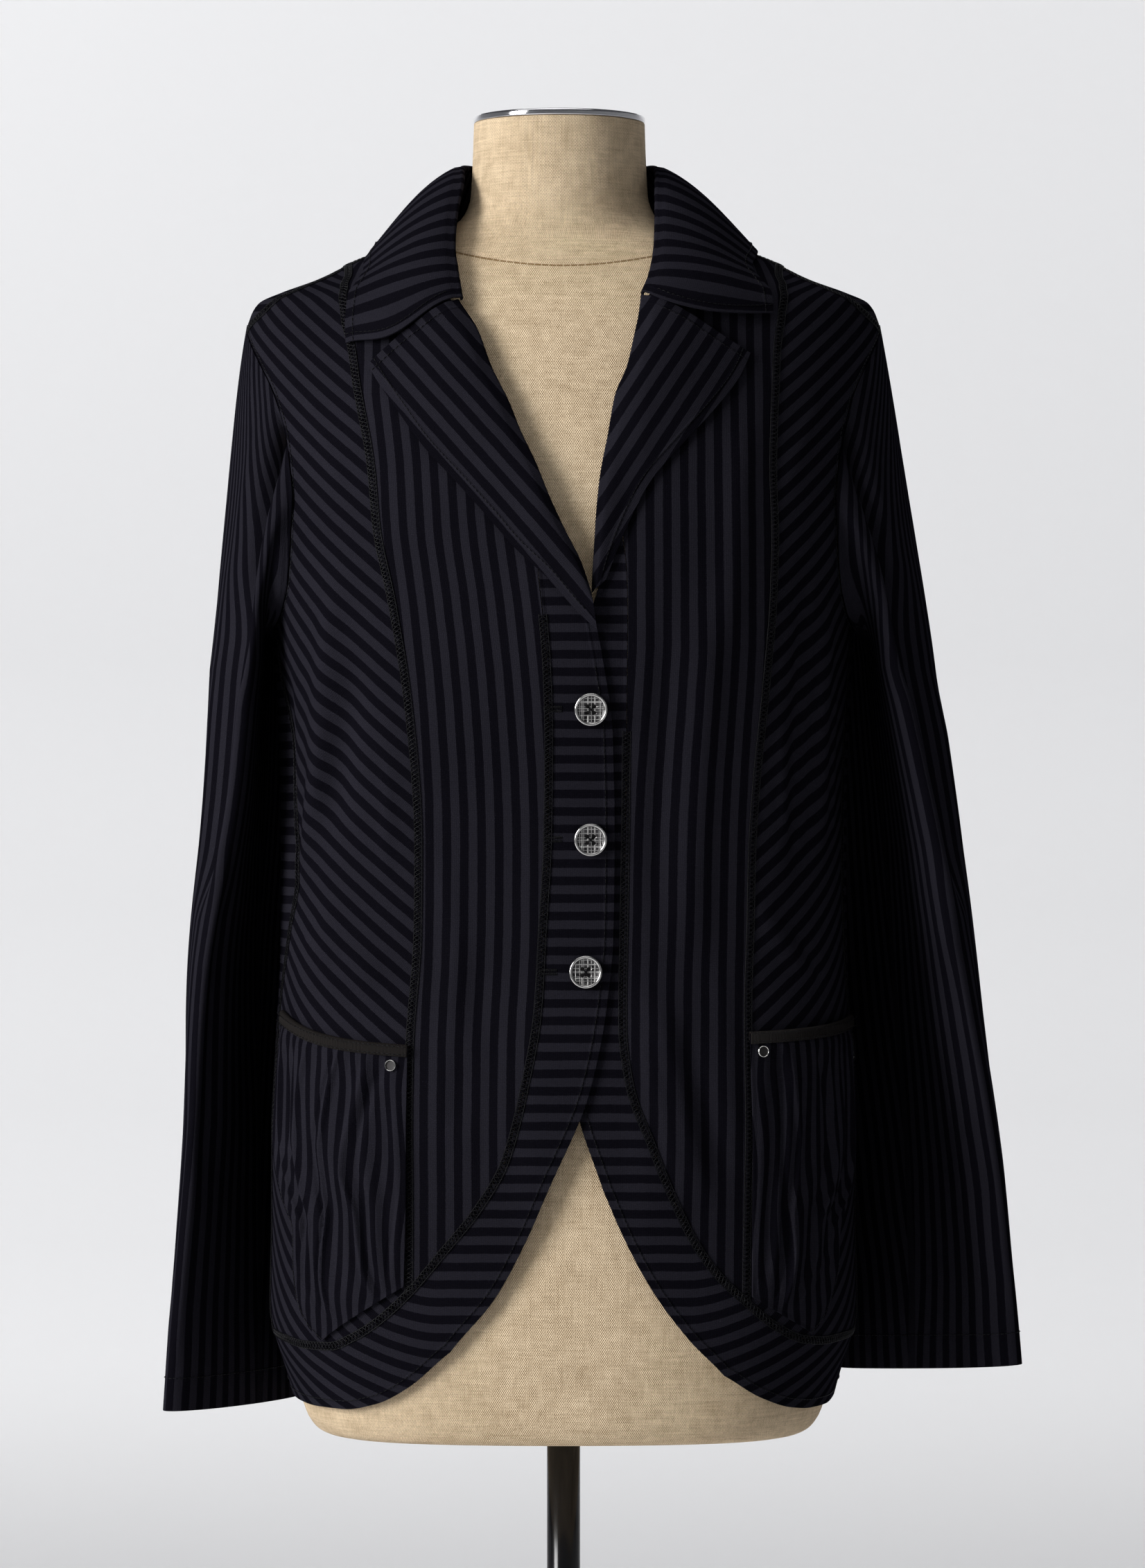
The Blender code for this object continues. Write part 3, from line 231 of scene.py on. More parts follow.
def look_up(table, turn, height):
    x = np.clip((turn - TABLE_TURNS[0]) / 2.0, 0, len(TABLE_TURNS) - 1.001)
    y = (height - TABLE_HEIGHTS[0]) / (TABLE_HEIGHTS[1] - TABLE_HEIGHTS[0])
    y = np.clip(y, 0, len(TABLE_HEIGHTS) - 1.001)
    i, j = y.astype(int), x.astype(int)
    v, u = y - i, x - j
    low = table[i, j] * (1 - u) + table[i, j + 1] * u
    high = table[i + 1, j] * (1 - u) + table[i + 1, j + 1] * u
    return low * (1 - v) + high * v


def round_and_up(places):
    """Lengths on the cloth: round the body from the centre front, and up from the hem."""
    return [look_up(table, places[..., 0], places[..., 1]) for table in (ROUND_TABLE, UP_TABLE)]


girth = np.ptp(look_up(ROUND_TABLE, np.array([-180.0, 180.0]), np.full(2, BUST_HEIGHT)))
print("girth at the bust:", round(float(girth), 3), "m")
print("hem to neck along the centre back:", round(float(UP_TABLE[-1, 0]), 3), "m")

# %% [markdown]
# The seams divide that surface into the pieces that a maker cuts. Each seam is a short list of
# places, read from the photograph, with a smooth curve through them.

# %% Seams and edges: turn, height
PRINCESS = {
    "right": [(-25.8, 0.863), (-25.9, 0.931), (-26.2, 1.010), (-25.1, 1.080), (-25.0, 1.130),
              (-26.4, 1.206), (-29.1, 1.268), (-33.3, 1.319), (-36.3, 1.375), (-42.0, 1.440),
              (-45.5, 1.460), (-53.5, 1.4695), (-69.0, 1.4795), (-80.0, 1.4832)],
    "left": [(31.6, 0.857), (32.3, 0.931), (33.0, 1.020), (34.1, 1.080), (34.6, 1.130),
             (37.0, 1.219), (38.4, 1.280), (39.3, 1.330), (39.4, 1.385), (42.0, 1.440),
             (45.5, 1.460), (53.5, 1.4695), (69.0, 1.4795), (80.0, 1.4832)],
}
SIDE = {
    "right": [(-79.0, 0.832), (-80.0, 0.880), (-79.5, 0.950), (-75.5, 1.030), (-68.0, 1.072),
              (-61.5, 1.110), (-63.5, 1.160), (-68.0, 1.205), (-74.1, 1.2615)],
    "left": [(79.0, 0.832), (80.0, 0.880), (79.5, 0.950), (77.0, 1.030), (73.5, 1.090),
             (72.0, 1.150), (72.5, 1.205), (75.0, 1.2615)],
}
ARMHOLE_FRONT = {
    "right": [(-74.1, 1.2615), (-68.7, 1.267), (-62.6, 1.285), (-60.3, 1.312), (-59.7, 1.3435),
              (-61.0, 1.374), (-65.0, 1.400), (-73.0, 1.4225), (-83.0, 1.4425)],
    "left": [(75.0, 1.2615), (69.5, 1.267), (63.5, 1.285), (61.0, 1.312), (60.5, 1.3435),
             (61.8, 1.374), (65.5, 1.400), (73.5, 1.4240), (83.0, 1.4425)],
}
ARMHOLE_BACK = [(83.0, 1.4425), (90.0, 1.448), (99.0, 1.441), (109.0, 1.420), (117.0, 1.380),
                (118.5, 1.335), (113.0, 1.292), (102.0, 1.266), (88.0, 1.2570), (75.0, 1.2615)]
BACK_PRINCESS = [(149.0, 0.833), (150.0, 0.900), (152.0, 1.000), (154.0, 1.110), (152.5, 1.200),
                 (148.0, 1.300), (143.0, 1.380), (139.5, 1.430), (134.5, 1.460), (127.0, 1.4695),
                 (111.0, 1.4795), (95.0, 1.4831), (80.0, 1.4832)]
SHOULDER_OUTER = [(80.0, 1.4832), (71.0, 1.4730), (68.0, 1.4640), (71.0, 1.4550), (83.0, 1.4425)]
SHOULDER_INNER = [(84.0, 1.5045), (82.5, 1.4950), (80.0, 1.4832)]
BACK_NECK = [(180.0, 1.5030), (150.0, 1.5035), (115.0, 1.5045), (84.0, 1.5045)]
ROLL = {
    "right": [(4.5, 1.2758), (2.6, 1.2943), (0.0, 1.3129), (-2.4, 1.3312), (-5.0, 1.3537),
              (-7.7, 1.3743), (-9.6, 1.3912), (-12.9, 1.4132), (-16.4, 1.4389), (-19.8, 1.4540)],
    "left": [(5.0, 1.2800), (5.6, 1.3055), (6.1, 1.3275), (6.8, 1.3479), (8.1, 1.3722),
             (9.4, 1.3971), (11.6, 1.4141), (13.4, 1.4351), (14.9, 1.4570)],
}
FRONT_NECK = {
    "right": [(-19.8, 1.4540), (-27.5, 1.4715), (-42.0, 1.4880), (-62.0, 1.4990), (-84.0, 1.5045)],
    "left": [(14.9, 1.4570), (21.5, 1.4720), (37.0, 1.4880), (59.0, 1.4985), (84.0, 1.5045)],
}
# The front band: seam_turn, seam_height, edge_turn, edge_height
BAND = {
    "right": [
        (-4.9, 1.345, -3.7, 1.3425), (-4.4, 1.313, -0.1, 1.3129), (-3.9, 1.288, 2.9, 1.2915),
        (-3.2, 1.265, 4.7, 1.2680), (-2.6, 1.235, 6.5, 1.2350), (-2.3, 1.196, 8.0, 1.1960),
        (-2.5, 1.1335, 8.4, 1.1335), (-3.4, 1.0747, 8.2, 1.0747), (-4.1, 1.029, 7.1, 1.0340),
        (-6.0, 0.987, 4.2, 0.9820), (-9.2, 0.941, -2.4, 0.9230), (-13.6, 0.913, -5.9, 0.8930),
        (-19.5, 0.8875, -11.1, 0.8580), (-25.8, 0.863, -18.5, 0.8280), (-32.9, 0.844, -27.8, 0.8060),
        (-38.8, 0.835, -36.0, 0.7955), (-45.1, 0.8295, -46.0, 0.7912), (-53.5, 0.829, -58.0, 0.7912),
        (-66.0, 0.831, -68.0, 0.7920), (-79.0, 0.832, -79.0, 0.7930),
    ],
    "left": [
        (8.8, 1.3425, 7.4, 1.3400), (9.6, 1.313, 6.2, 1.3110), (10.2, 1.290, 5.8, 1.2880),
        (10.3, 1.265, 3.6, 1.2600), (10.3, 1.235, 1.0, 1.2300), (10.3, 1.196, -0.4, 1.1960),
        (10.2, 1.137, -0.4, 1.1370), (9.9, 1.075, -0.4, 1.0750), (9.6, 1.020, 0.1, 1.0200),
        (10.6, 0.987, 2.0, 0.9730), (14.2, 0.950, 6.3, 0.9234), (17.4, 0.922, 9.6, 0.8955),
        (21.6, 0.893, 14.6, 0.8620), (26.0, 0.873, 20.8, 0.8345), (31.6, 0.857, 28.6, 0.8130),
        (38.0, 0.843, 38.5, 0.7990), (47.0, 0.8335, 48.4, 0.7920), (56.0, 0.8315, 58.0, 0.7900),
        (68.0, 0.832, 69.0, 0.7900), (79.0, 0.832, 79.0, 0.7920),
    ],
}
BAND_CORNER = 10
BAND_PRINCESS = {"right": 13, "left": 14}
HEM_SEAM = 0.832
HEM_EDGE = 0.7925
LAPEL_EDGE = {
    "right": [(5.3, 1.2560), (1.9, 1.2680), (-2.4, 1.2861), (-7.4, 1.3034), (-12.5, 1.3238),
              (-18.2, 1.3448), (-24.1, 1.3655), (-30.2, 1.3919), (-36.1, 1.4161)],
    "left": [(6.8, 1.2860), (8.6, 1.3034), (11.2, 1.3238), (14.6, 1.3447), (20.3, 1.3670),
             (26.2, 1.3879), (32.2, 1.4111), (34.5, 1.4228)],
}
GORGE = {
    "right": [(-19.8, 1.4540), (-26.5, 1.4394), (-29.7, 1.4323), (-36.1, 1.4161)],
    "left": [(14.9, 1.4570), (24.1, 1.4416), (29.6, 1.4314), (34.5, 1.4228)],
}
POCKET_INNER = {
    "right": [(-26.4, 1.0085), (-26.2, 0.931), (-26.6, 0.8665)],
    "left": [(33.0, 1.0160), (32.8, 0.931), (32.6, 0.860)],
}
POCKET_OUTER = {
    "right": [(-68.0, 1.0270), (-71.0, 0.990), (-71.5, 0.951), (-65.0, 0.919), (-58.0, 0.896),
              (-57.5, 0.877), (-56.0, 0.860), (-51.5, 0.842), (-47.0, 0.8325)],
    "left": [(75.0, 1.0235), (74.5, 0.990), (73.5, 0.951), (68.0, 0.919), (61.0, 0.896),
             (60.0, 0.877), (57.0, 0.860), (53.0, 0.846), (49.0, 0.8365)],
}
POCKET_MOUTH_DIP = {"right": 0.0035, "left": 0.0010}


def on_side(points, side):
    """A seam of the wearer's left, or the same seam of the right."""
    return [(turn * SIGN[side], height) for turn, height in points]


# %% [markdown]
# A panel is a grid of places between four sampled edges. Its rows run from one side edge to the
# other, and the bow of its bottom and top edge fades out within a few rows, so no row crosses
# another. The grid becomes a thin closed shell: an outer face, an inner face and the cut edges.

# %% Panels from four edges
def sample(points, count):
    """count + 1 places at equal distances along a smooth line through the points."""
    points = np.array(points, float)
    run = running(body(points[:, 0], points[:, 1]))
    table = np.column_stack([run, points])
    places = run[-1] * np.linspace(0, 1, count + 1)
    return np.column_stack([smooth_column(table, 1)(places), smooth_column(table, 2)(places)])


def joined(runs):
    """Several lines as one, each starting where the one before it ends."""
    return np.concatenate([runs[0], *(run[1:] for run in runs[1:])])


def chain(*parts):
    return joined([sample(*part) for part in parts])


def patch(bottom, top, left, right):
    """A grid of places that fills the outline: rows go from bottom to top, columns left to right."""
    u = np.linspace(0, 1, len(bottom))[None, :, None]
    v = np.linspace(0, 1, len(left))[:, None, None]
    ruled = (1 - u) * left[:, None] + u * right[:, None]
    bottom_bow = bottom[None] - ruled[:1]
    top_bow = top[None] - ruled[-1:]
    return ruled + (1 - v) ** RIM_REACH * bottom_bow + v**RIM_REACH * top_bow


def pull_in(grid, distance, sides="btlr"):
    """Moves the rims of a grid of points inwards, for the gap at a seam."""
    grid = grid.copy()
    pairs = {"b": (grid[0], grid[1]), "t": (grid[-1], grid[-2]),
             "l": (grid[:, 0], grid[:, 1]), "r": (grid[:, -1], grid[:, -2])}
    moves = {}
    for side in sides:
        rim, next_in = pairs[side]
        along = unit(np.gradient(rim, axis=0))
        inwards = next_in - rim
        inwards = inwards - np.sum(inwards * along, axis=-1, keepdims=True) * along
        moves[side] = unit(inwards) * distance
    for side in sides:
        pairs[side][0][...] += moves[side]
    return grid


def rim_distances(grid, sides="btlr"):
    """Distance of every grid point to the nearest of the named rims, measured on the cloth."""
    across, up = running(grid, 1), running(grid, 0)
    to = {"l": across, "r": across[:, -1:] - across, "b": up, "t": up[-1:] - up}
    nearest = np.full(grid.shape[:2], 1.0)
    for side in sides:
        nearest = np.minimum(nearest, to[side])
    return nearest


# %% Meshes and objects
def new_object(name, data):
    """Puts a mesh, a light or a camera in the scene."""
    made = bpy.data.objects.new(name, data)
    bpy.context.scene.collection.objects.link(made)
    return made


def new_mesh(name, points, faces, finishes=()):
    mesh = bpy.data.meshes.new(name)
    mesh.from_pydata(points.tolist(), [], faces)
    for finish in finishes:
        mesh.materials.append(finish)
    return mesh


def store_places(mesh, places):
    """Keeps each point's place on the flat cloth in the UV map."""
    corners = np.zeros(len(mesh.loops), int)
    mesh.loops.foreach_get("vertex_index", corners)
    layer = mesh.uv_layers.new(name="cloth")
    layer.data.foreach_set("uv", places[corners].ravel().astype(np.float32))


def shade(mesh, sharp_angle):
    mesh.shade_smooth()
    mesh.set_sharp_from_angle(angle=np.radians(sharp_angle))


def turn_faces_out(mesh, merge=0.0):
    """Recalculates the normals, after merging points that lie closer than merge."""
    shape = bmesh.new()
    shape.from_mesh(mesh)
    if merge:
        bmesh.ops.remove_doubles(shape, verts=shape.verts, dist=merge)
        bmesh.ops.dissolve_degenerate(shape, edges=shape.edges, dist=merge)
    bmesh.ops.recalc_face_normals(shape, faces=shape.faces)
    shape.to_mesh(mesh)
    shape.free()


# %% A thin closed shell between two grids
def grid_faces(rows, columns, tube=False):
    """Faces of a wall between two grids of the same size, with its rims."""
    second = rows * columns
    spans = columns if tube else columns - 1
    r, c = np.meshgrid(np.arange(rows - 1), np.arange(spans), indexing="ij")
    after = (c + 1) % columns
    a, b = (r * columns + c).ravel(), (r * columns + after).ravel()
    d, e = ((r + 1) * columns + after).ravel(), ((r + 1) * columns + c).ravel()
    faces = [np.column_stack([a, b, d, e]), np.column_stack([a, e, d, b]) + second]
    c = np.arange(spans)
    after = (c + 1) % columns
    last = (rows - 1) * columns
    faces.append(np.column_stack([c, c + second, after + second, after]))
    faces.append(np.column_stack([last + c, last + after, last + after + second, last + c + second]))
    if not tube:
        r = np.arange(rows - 1)
        start, below = r * columns, (r + 1) * columns
        faces.append(np.column_stack([start, below, below + second, start + second]))
        end = columns - 1
        faces.append(np.column_stack([start + end, start + end + second,
                                      below + end + second, below + end]))
    return np.concatenate(faces)


def shell(name, outer, inner, stripes, finish, rims=None, sewn=None, tube=False):
    """A shell object. stripes is a grid of (across, along) in metres, for the pattern."""
    rows, columns = outer.shape[:2]
    points = np.concatenate([outer.reshape(-1, 3), inner.reshape(-1, 3)])
    faces = grid_faces(rows, columns, tube)
    normal = np.cross(outer[1, 1] - outer[0, 0], outer[1, 0] - outer[0, 1])
    if normal @ (outer[0, 0] - inner[0, 0]) > 0:
        faces = faces[:, ::-1]
    mesh = new_mesh(name, points, faces.tolist(), [finish])
    store_places(mesh, np.concatenate([stripes.reshape(-1, 2)] * 2))
    for label, values in (("rim", rims), ("sewn", sewn)):   # distances; far away where none is given
        far = np.full(len(points), 1.0) if values is None else np.tile(values.ravel(), 2)
        layer = mesh.attributes.new(label, "FLOAT", "POINT")
        layer.data.foreach_set("value", far.astype(np.float32))
    shade(mesh, 55)
    return new_object(name, mesh)


# %% [markdown]
# Shader maths reads best as plain formulas. One small class wraps a node's output, and its operators
# add Math nodes; another builds a finish and adds any other node through one method.

# %% Formulas for shader nodes
class Amount:
    """A number in a finish that differs over the surface."""

    def __init__(self, finish, socket):
        self.finish, self.socket = finish, socket

    def joined(self, operation, first, second):
        made = self.finish.add("ShaderNodeMath", {"operation": operation}, {0: first, 1: second})
        return Amount(self.finish, made.outputs[0])

    def __add__(self, other):
        return self.joined("ADD", self, other)

    def __sub__(self, other):
        return self.joined("SUBTRACT", self, other)

    def __rsub__(self, other):
        return self.joined("SUBTRACT", other, self)

    def __mul__(self, other):
        return self.joined("MULTIPLY", self, other)

    def __truediv__(self, other):
        return self.joined("DIVIDE", self, other)

    __radd__, __rmul__ = __add__, __mul__

    def made(self, operation, other=0.0):
        return self.joined(operation, self, other)

    def wave(self, period, operation="SINE"):
        """A wave that repeats every period metres."""
        return (self * (2 * np.pi / period)).made(operation)


class Finish:
    """A material in the making."""

    def __init__(self, name, roughness, metallic=0.0, **settings):
        self.material = bpy.data.materials.new(name)
        self.material.use_nodes = True
        self.nodes = self.material.node_tree.nodes
        self.links = self.material.node_tree.links
        self.shader = self.nodes["Principled BSDF"]
        self.shader.inputs["Roughness"].default_value = roughness
        self.shader.inputs["Metallic"].default_value = metallic
        for socket, value in settings.items():
            self.shader.inputs[socket.replace("_", " ")].default_value = value

    def add(self, kind, settings, values):
        """One node: its settings first, then the values or links of its sockets."""
        made = self.nodes.new(kind)
        for name, value in settings.items():
            setattr(made, name, value)
        for name, value in values.items():
            self.put(made.inputs[name], value)
        return made

    def put(self, socket, value):
        if isinstance(value, Amount):
            self.links.new(value.socket, socket)
        elif isinstance(value, bpy.types.NodeSocket):
            self.links.new(value, socket)
        else:
            socket.default_value = value

    def number(self, kind, settings, values, output=0):
        return Amount(self, self.add(kind, settings, values).outputs[output])

    def places(self, kind="Object"):
        return self.add("ShaderNodeTexCoord", {}, {}).outputs[kind]

    def parts(self, vector):
        split = self.add("ShaderNodeSeparateXYZ", {}, {0: vector})
        return [Amount(self, split.outputs[i]) for i in range(3)]

    def mapped(self, vector, socket, value):
        """A vector after a Mapping node, by its Scale or its Location."""
        return self.add("ShaderNodeMapping", {}, {"Vector": vector, socket: value}).outputs[0]

    def noise(self, vector, scale, detail=2.0, roughness=0.5):
        return self.number("ShaderNodeTexNoise", {}, {"Vector": vector, "Scale": scale,
                           "Detail": detail, "Roughness": roughness})

    def smooth(self, value, low, high):
        return self.number("ShaderNodeMapRange", {"interpolation_type": "SMOOTHSTEP"},
                           {"Value": value, "From Min": low, "From Max": high})

    def blend(self, share, first, second):
        """A colour between two others."""
        made = self.add("ShaderNodeMix", {"data_type": "RGBA"},
                        {0: share, 6: (*first, 1), 7: (*second, 1)})
        return made.outputs[2]

    def colour(self, value):
        self.put(self.shader.inputs["Base Color"], value)

    def dull(self, value):
        self.put(self.shader.inputs["Roughness"], value)

    def bump(self, height, distance, strength=1.0):
        made = self.add("ShaderNodeBump", {}, {"Height": height, "Distance": distance,
                        "Strength": strength})
        self.put(self.shader.inputs["Normal"], made.outputs[0])


# %% [markdown]
# The cloth is a fine knit with tonal stripes: a charcoal stripe, then a near-black navy one, each
# about 5 mm wide. Both are the same yarn count, so the edge between them is sharp but slightly
# uneven. The pattern reads the lengths stored in the UV map. Towards a seam the cloth rounds down
# into the stitching, and the stored distance to the rim gives that as a bump.

# %% The striped knit
STRIPE_PERIOD = 0.0104
CHARCOAL, NAVY = (0.0148, 0.0141, 0.0194), (0.0042, 0.0039, 0.0060)
WALE = 0.0011           # one rib of the knit
TOP_INSET = 0.0054      # how far topstitching runs inside an edge


def striped_knit():
    finish = Finish("striped_knit", 0.62, Specular_IOR_Level=0.0)
    across, along, _ = finish.parts(finish.places("UV"))
    spots = finish.places()
    waver = ((finish.noise(spots, 900.0, 1.0) - 0.5) * 0.0005
             + (finish.noise(spots, 60.0, 1.0) - 0.5) * 0.0006)
    turn = ((across + waver) / STRIPE_PERIOD + 500.0).made("FRACT")
    stripe = finish.smooth((turn - 0.5).made("ABSOLUTE"), 0.235, 0.265)
    rib, wale = (along + waver).wave(WALE), across.wave(WALE)
    fuzz = finish.noise(spots, 1400.0)
    worn = finish.noise(spots, 14.0, 3.0)
    shade = (fuzz - 0.5) * 0.5 + rib * 0.06 + (worn - 0.5) * 0.30 + 1.0
    base = finish.blend(stripe, NAVY, CHARCOAL)
    tint = finish.add("ShaderNodeVectorMath", {"operation": "SCALE"}, {0: base, 3: shade})
    finish.colour(tint.outputs[0])
    finish.dull(0.70 - stripe * 0.10 + (fuzz - 0.5) * 0.1)
    rim = finish.number("ShaderNodeAttribute", {"attribute_name": "rim"}, {}, 2)
    sewn = finish.number("ShaderNodeAttribute", {"attribute_name": "sewn"}, {}, 2)
    roll = finish.smooth(rim, 0.0, 0.0028)
    groove = finish.smooth((sewn - TOP_INSET).made("ABSOLUTE"), 0.0, 0.0016)
    height = roll * 0.9 + groove * 0.55 + (rib + wale) * 0.045 + fuzz * 0.10
    finish.bump(height, 0.0007, 0.9)
    return finish.material


knit = striped_knit()
print("stripe period:", STRIPE_PERIOD * 1000, "mm")

# %% [markdown]
# The other finishes: the black sewing thread, the ribbed binding tape of the pockets, the natural
# linen of the dress form, plated metal and enamel for the trims, chrome for the neck cap and gloss
# paint for the stand. Tape and linen follow the UV map too, and the grain of all of them reads
# Object coordinates, so it keeps its real size.

# %% Thread and tape
TAPE_RIB = 0.00085


def sewing_thread():
    finish = Finish("sewing_thread", 0.40, Specular_IOR_Level=0.14)
    spots = finish.places()
    fuzz = finish.noise(spots, 2500.0, 1.0) * 0.6 + finish.noise(spots, 450.0, 1.0) * 0.4
    finish.colour(finish.blend(finish.smooth(fuzz, 0.45, 0.72),
                               (0.0008, 0.0008, 0.0014), (0.0120, 0.0115, 0.0140)))
    return finish.material


def ribbed_tape():
    finish = Finish("ribbed_tape", 0.6, Specular_IOR_Level=0.1)
    across, _, _ = finish.parts(finish.places("UV"))
    rib = across.wave(TAPE_RIB) * 0.5 + 0.5
    fuzz = finish.noise(finish.places(), 1100.0)
    finish.colour(finish.blend(rib * 0.7 + fuzz * 0.3,
                               (0.0034, 0.0030, 0.0030), (0.0200, 0.0165, 0.0150)))
    finish.bump(rib, 0.0004, 0.9)
    return finish.material


thread, tape = sewing_thread(), ribbed_tape()

# %% Linen, metals and paint
LINEN_COUNT = 0.00098
NECK_SEAM, NECK_SEAM_RISE = 1.478, 0.024    # height at the centre front, and how far it climbs


def linen_canvas():
    """Plain weave: a round dot of pale yarn at each crossing, every other row half a step aside."""
    finish = Finish("linen_canvas", 0.85, Specular_IOR_Level=0.2)
    across, up, _ = finish.parts(finish.places("UV"))
    spots = finish.places()
    thick = finish.noise(finish.mapped(spots, "Scale", (50, 50, 1100)), 1.0)
    thick_up = finish.noise(finish.mapped(spots, "Scale", (1100, 1100, 40)), 1.0)
    fuzz = finish.noise(spots, 1500.0)
    first = (across + up * 0.5 + (thick_up - 0.5) * 0.0006).wave(LINEN_COUNT, "COSINE")
    second = (across - up * 0.5 + (thick - 0.5) * 0.0006).wave(LINEN_COUNT, "COSINE")
    dots = (first + second) * 0.25 + 0.5
    uneven = finish.noise(spots, 16.0, 4.0)
    blotch = finish.noise(spots, 130.0, 3.0)
    seam = finish.smooth(across.made("ABSOLUTE"), 0.0, 0.13) * NECK_SEAM_RISE + NECK_SEAM
    off = (up - seam).made("ABSOLUTE")
    stitch = finish.smooth(((across / 0.0034).made("FRACT") - 0.5).made("ABSOLUTE"), 0.38, 0.46)
    line = (finish.smooth(off, 0.0003, 0.0008) * -1.0 + 1.0) * (stitch * -0.7 + 1.0)
    share = (dots * 0.62 + thick * 0.50 + thick_up * 0.44 + (uneven - 0.5) * 0.35
             + (blotch - 0.5) * 0.45 + (fuzz - 0.5) * 0.4 - 0.16 - line * 0.75)
    finish.colour(finish.blend(share, (0.27, 0.165, 0.072), (1.0, 0.80, 0.55)))
    finish.bump(dots + thick * 0.5 + fuzz * 0.3 + finish.smooth(off, 0.0, 0.0030) * 1.2, 0.0005, 0.9)
    return finish.material


def metal(name, colour, roughness, grain, metallic=1.0):
    finish = Finish(name, roughness, metallic)
    marks = finish.noise(finish.places(), grain, 3.0)
    finish.colour(finish.blend(marks, [c * 0.85 for c in colour], colour))
    finish.dull(marks * 0.10 + (roughness - 0.05))
    return finish.material


def hatched_metal():
    """The button's face: fine lines engraved both ways, in uneven groups."""
    finish = Finish("hatched_metal", 0.30, 1.0)
    spots = finish.places()
    x, _, z = finish.parts(spots)
    deep, fine = [], []
    for where, narrow, broad, moved in ((x, 0.0023, 0.0037, (0, 0, 0)), (z, 0.0025, 0.0041, (3, 1, 2))):
        deep.append(finish.smooth(where.wave(narrow), 0.80, 0.97)
                    + finish.smooth(where.wave(broad, "COSINE"), 0.85, 0.98))
        patchy = finish.noise(finish.mapped(spots, "Location", moved), 300.0, 1.0)
        fine.append(finish.smooth(where.wave(0.0007), 0.2, 0.8) * finish.smooth(patchy, 0.45, 0.55))
    cut = deep[0] + deep[1] + (fine[0] + fine[1]) * 0.30
    finish.colour(finish.blend(finish.smooth(cut, 0.0, 1.3), (0.040, 0.038, 0.040), (0.62, 0.61, 0.60)))
    finish.bump(cut, 0.00025, 1.0)
    return finish.material


def gloss_paint():
    finish = Finish("gloss_paint", 0.16, 0.0)
    haze = finish.noise(finish.places(), 40.0, 3.0)
    finish.colour(finish.blend(haze, (0.004, 0.004, 0.005), (0.007, 0.007, 0.008)))
    finish.dull(haze * 0.10 + 0.12)
    return finish.material


linen = linen_canvas()
silver = metal("bright_rim", (0.72, 0.71, 0.69), 0.20, 700.0)
dark_metal = metal("gunmetal", (0.055, 0.052, 0.055), 0.36, 600.0)
enamel = metal("dark_enamel", (0.022, 0.019, 0.019), 0.55, 600.0, 0.0)
chrome = metal("chrome", (0.78, 0.78, 0.80), 0.09, 60.0)
black_paint = gloss_paint()
hatched = hatched_metal()

# %% [markdown]
# Now the pieces of the body. Each is cut from the shared surface between its own seams. The stripes
# follow the straight grain of each piece: upright in the centre fronts, slanting in the side fronts,
# level in the front bands and side backs, and upright again in the backs.

# %% Sheets: what each piece was cut to
cuts = {}


def declare(made, grid, nodes, tube=False):
    """Hides the imported solids that the piece replaces, and keeps and prints the size of its cut."""
    closed = np.concatenate([grid, grid[:, :1]], axis=1) if tube else grid
    across = np.linalg.norm(np.diff(closed, axis=1), axis=2)
    up = np.linalg.norm(np.diff(closed, axis=0), axis=2)
    width, length = float(across.sum(axis=1).max()), float(up.sum(axis=0).max())
    diagonals = closed[1:, 1:] - closed[:-1, :-1], closed[1:, :-1] - closed[:-1, 1:]
    area = float(np.linalg.norm(np.cross(*diagonals), axis=2).sum() / 2)
    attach(made, "root")
    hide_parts(*nodes)
    cuts[made.name] = (round(width, 3), round(length, 3), round(area, 4))
    print(made.name, "cut from", cuts[made.name][:2], "m")


def panel(name, places, side, stripes, lift=0.0, rims="btlr", seams="btlr", sewn=""):
    """One flat-cut piece of cloth on the garment's surface. Gives its outer grid."""
    turn, height = places[..., 0], places[..., 1]
    outer = pull_in(skin(turn, height, lift, side), RIM_PULL, rims)
    inner = pull_in(skin(turn, height, lift - THIN, side), RIM_PULL, rims)
    made = shell(f"cloth_{name}_{side}", outer, inner, stripes, knit, rim_distances(outer, seams),
                 rim_distances(outer, sewn))
    declare(made, outer, [f"{name}_{side}"])
    return outer


# %% Where the seams of both fronts run
ROWS = 150


def band_stretches(side, which, counts=(70, 26, 40)):
    """The band's seam (0) or edge (1): top to corner, on to the princess seam, on to the side."""
    line = [row[2 * which:2 * which + 2] for row in BAND[side]]
    corner, princess = BAND_CORNER, BAND_PRINCESS[side]
    return (sample(line[:corner + 1], counts[0]), sample(line[corner:princess + 1], counts[1]),
            sample(line[princess:], counts[2]))


def centre_stripes(places, side):
    """Upright stripes that lean a little with the princess seam."""
    around, up = round_and_up(places)
    seam = sample(PRINCESS[side], 80)
    seam_round, _ = round_and_up(seam)
    order = np.argsort(seam[:, 1])
    seam_here = np.interp(places[..., 1], seam[order, 1], seam_round[order])
    lean = 0.62 * np.clip(seam_here, *sorted((0.075 * SIGN[side], 0.125 * SIGN[side])))
    return np.stack([around - lean, up], -1)


def centre_front(side):
    seam, bottom, _ = band_stretches(side, 0)
    roll = [place for place in ROLL[side] if place[1] > seam[0][1] + 0.004]
    upper = chain(([tuple(seam[0])] + roll, 45), (FRONT_NECK[side], ROWS - 70 - 45))
    inner = np.concatenate([seam[::-1], upper[1:]])
    outer = sample(PRINCESS[side], ROWS)
    top = sample(on_side(SHOULDER_INNER, side), 26)[::-1]
    places = patch(bottom[::-1], top, outer, inner)
    return panel("front", places, side, centre_stripes(places, side), seams="btl")


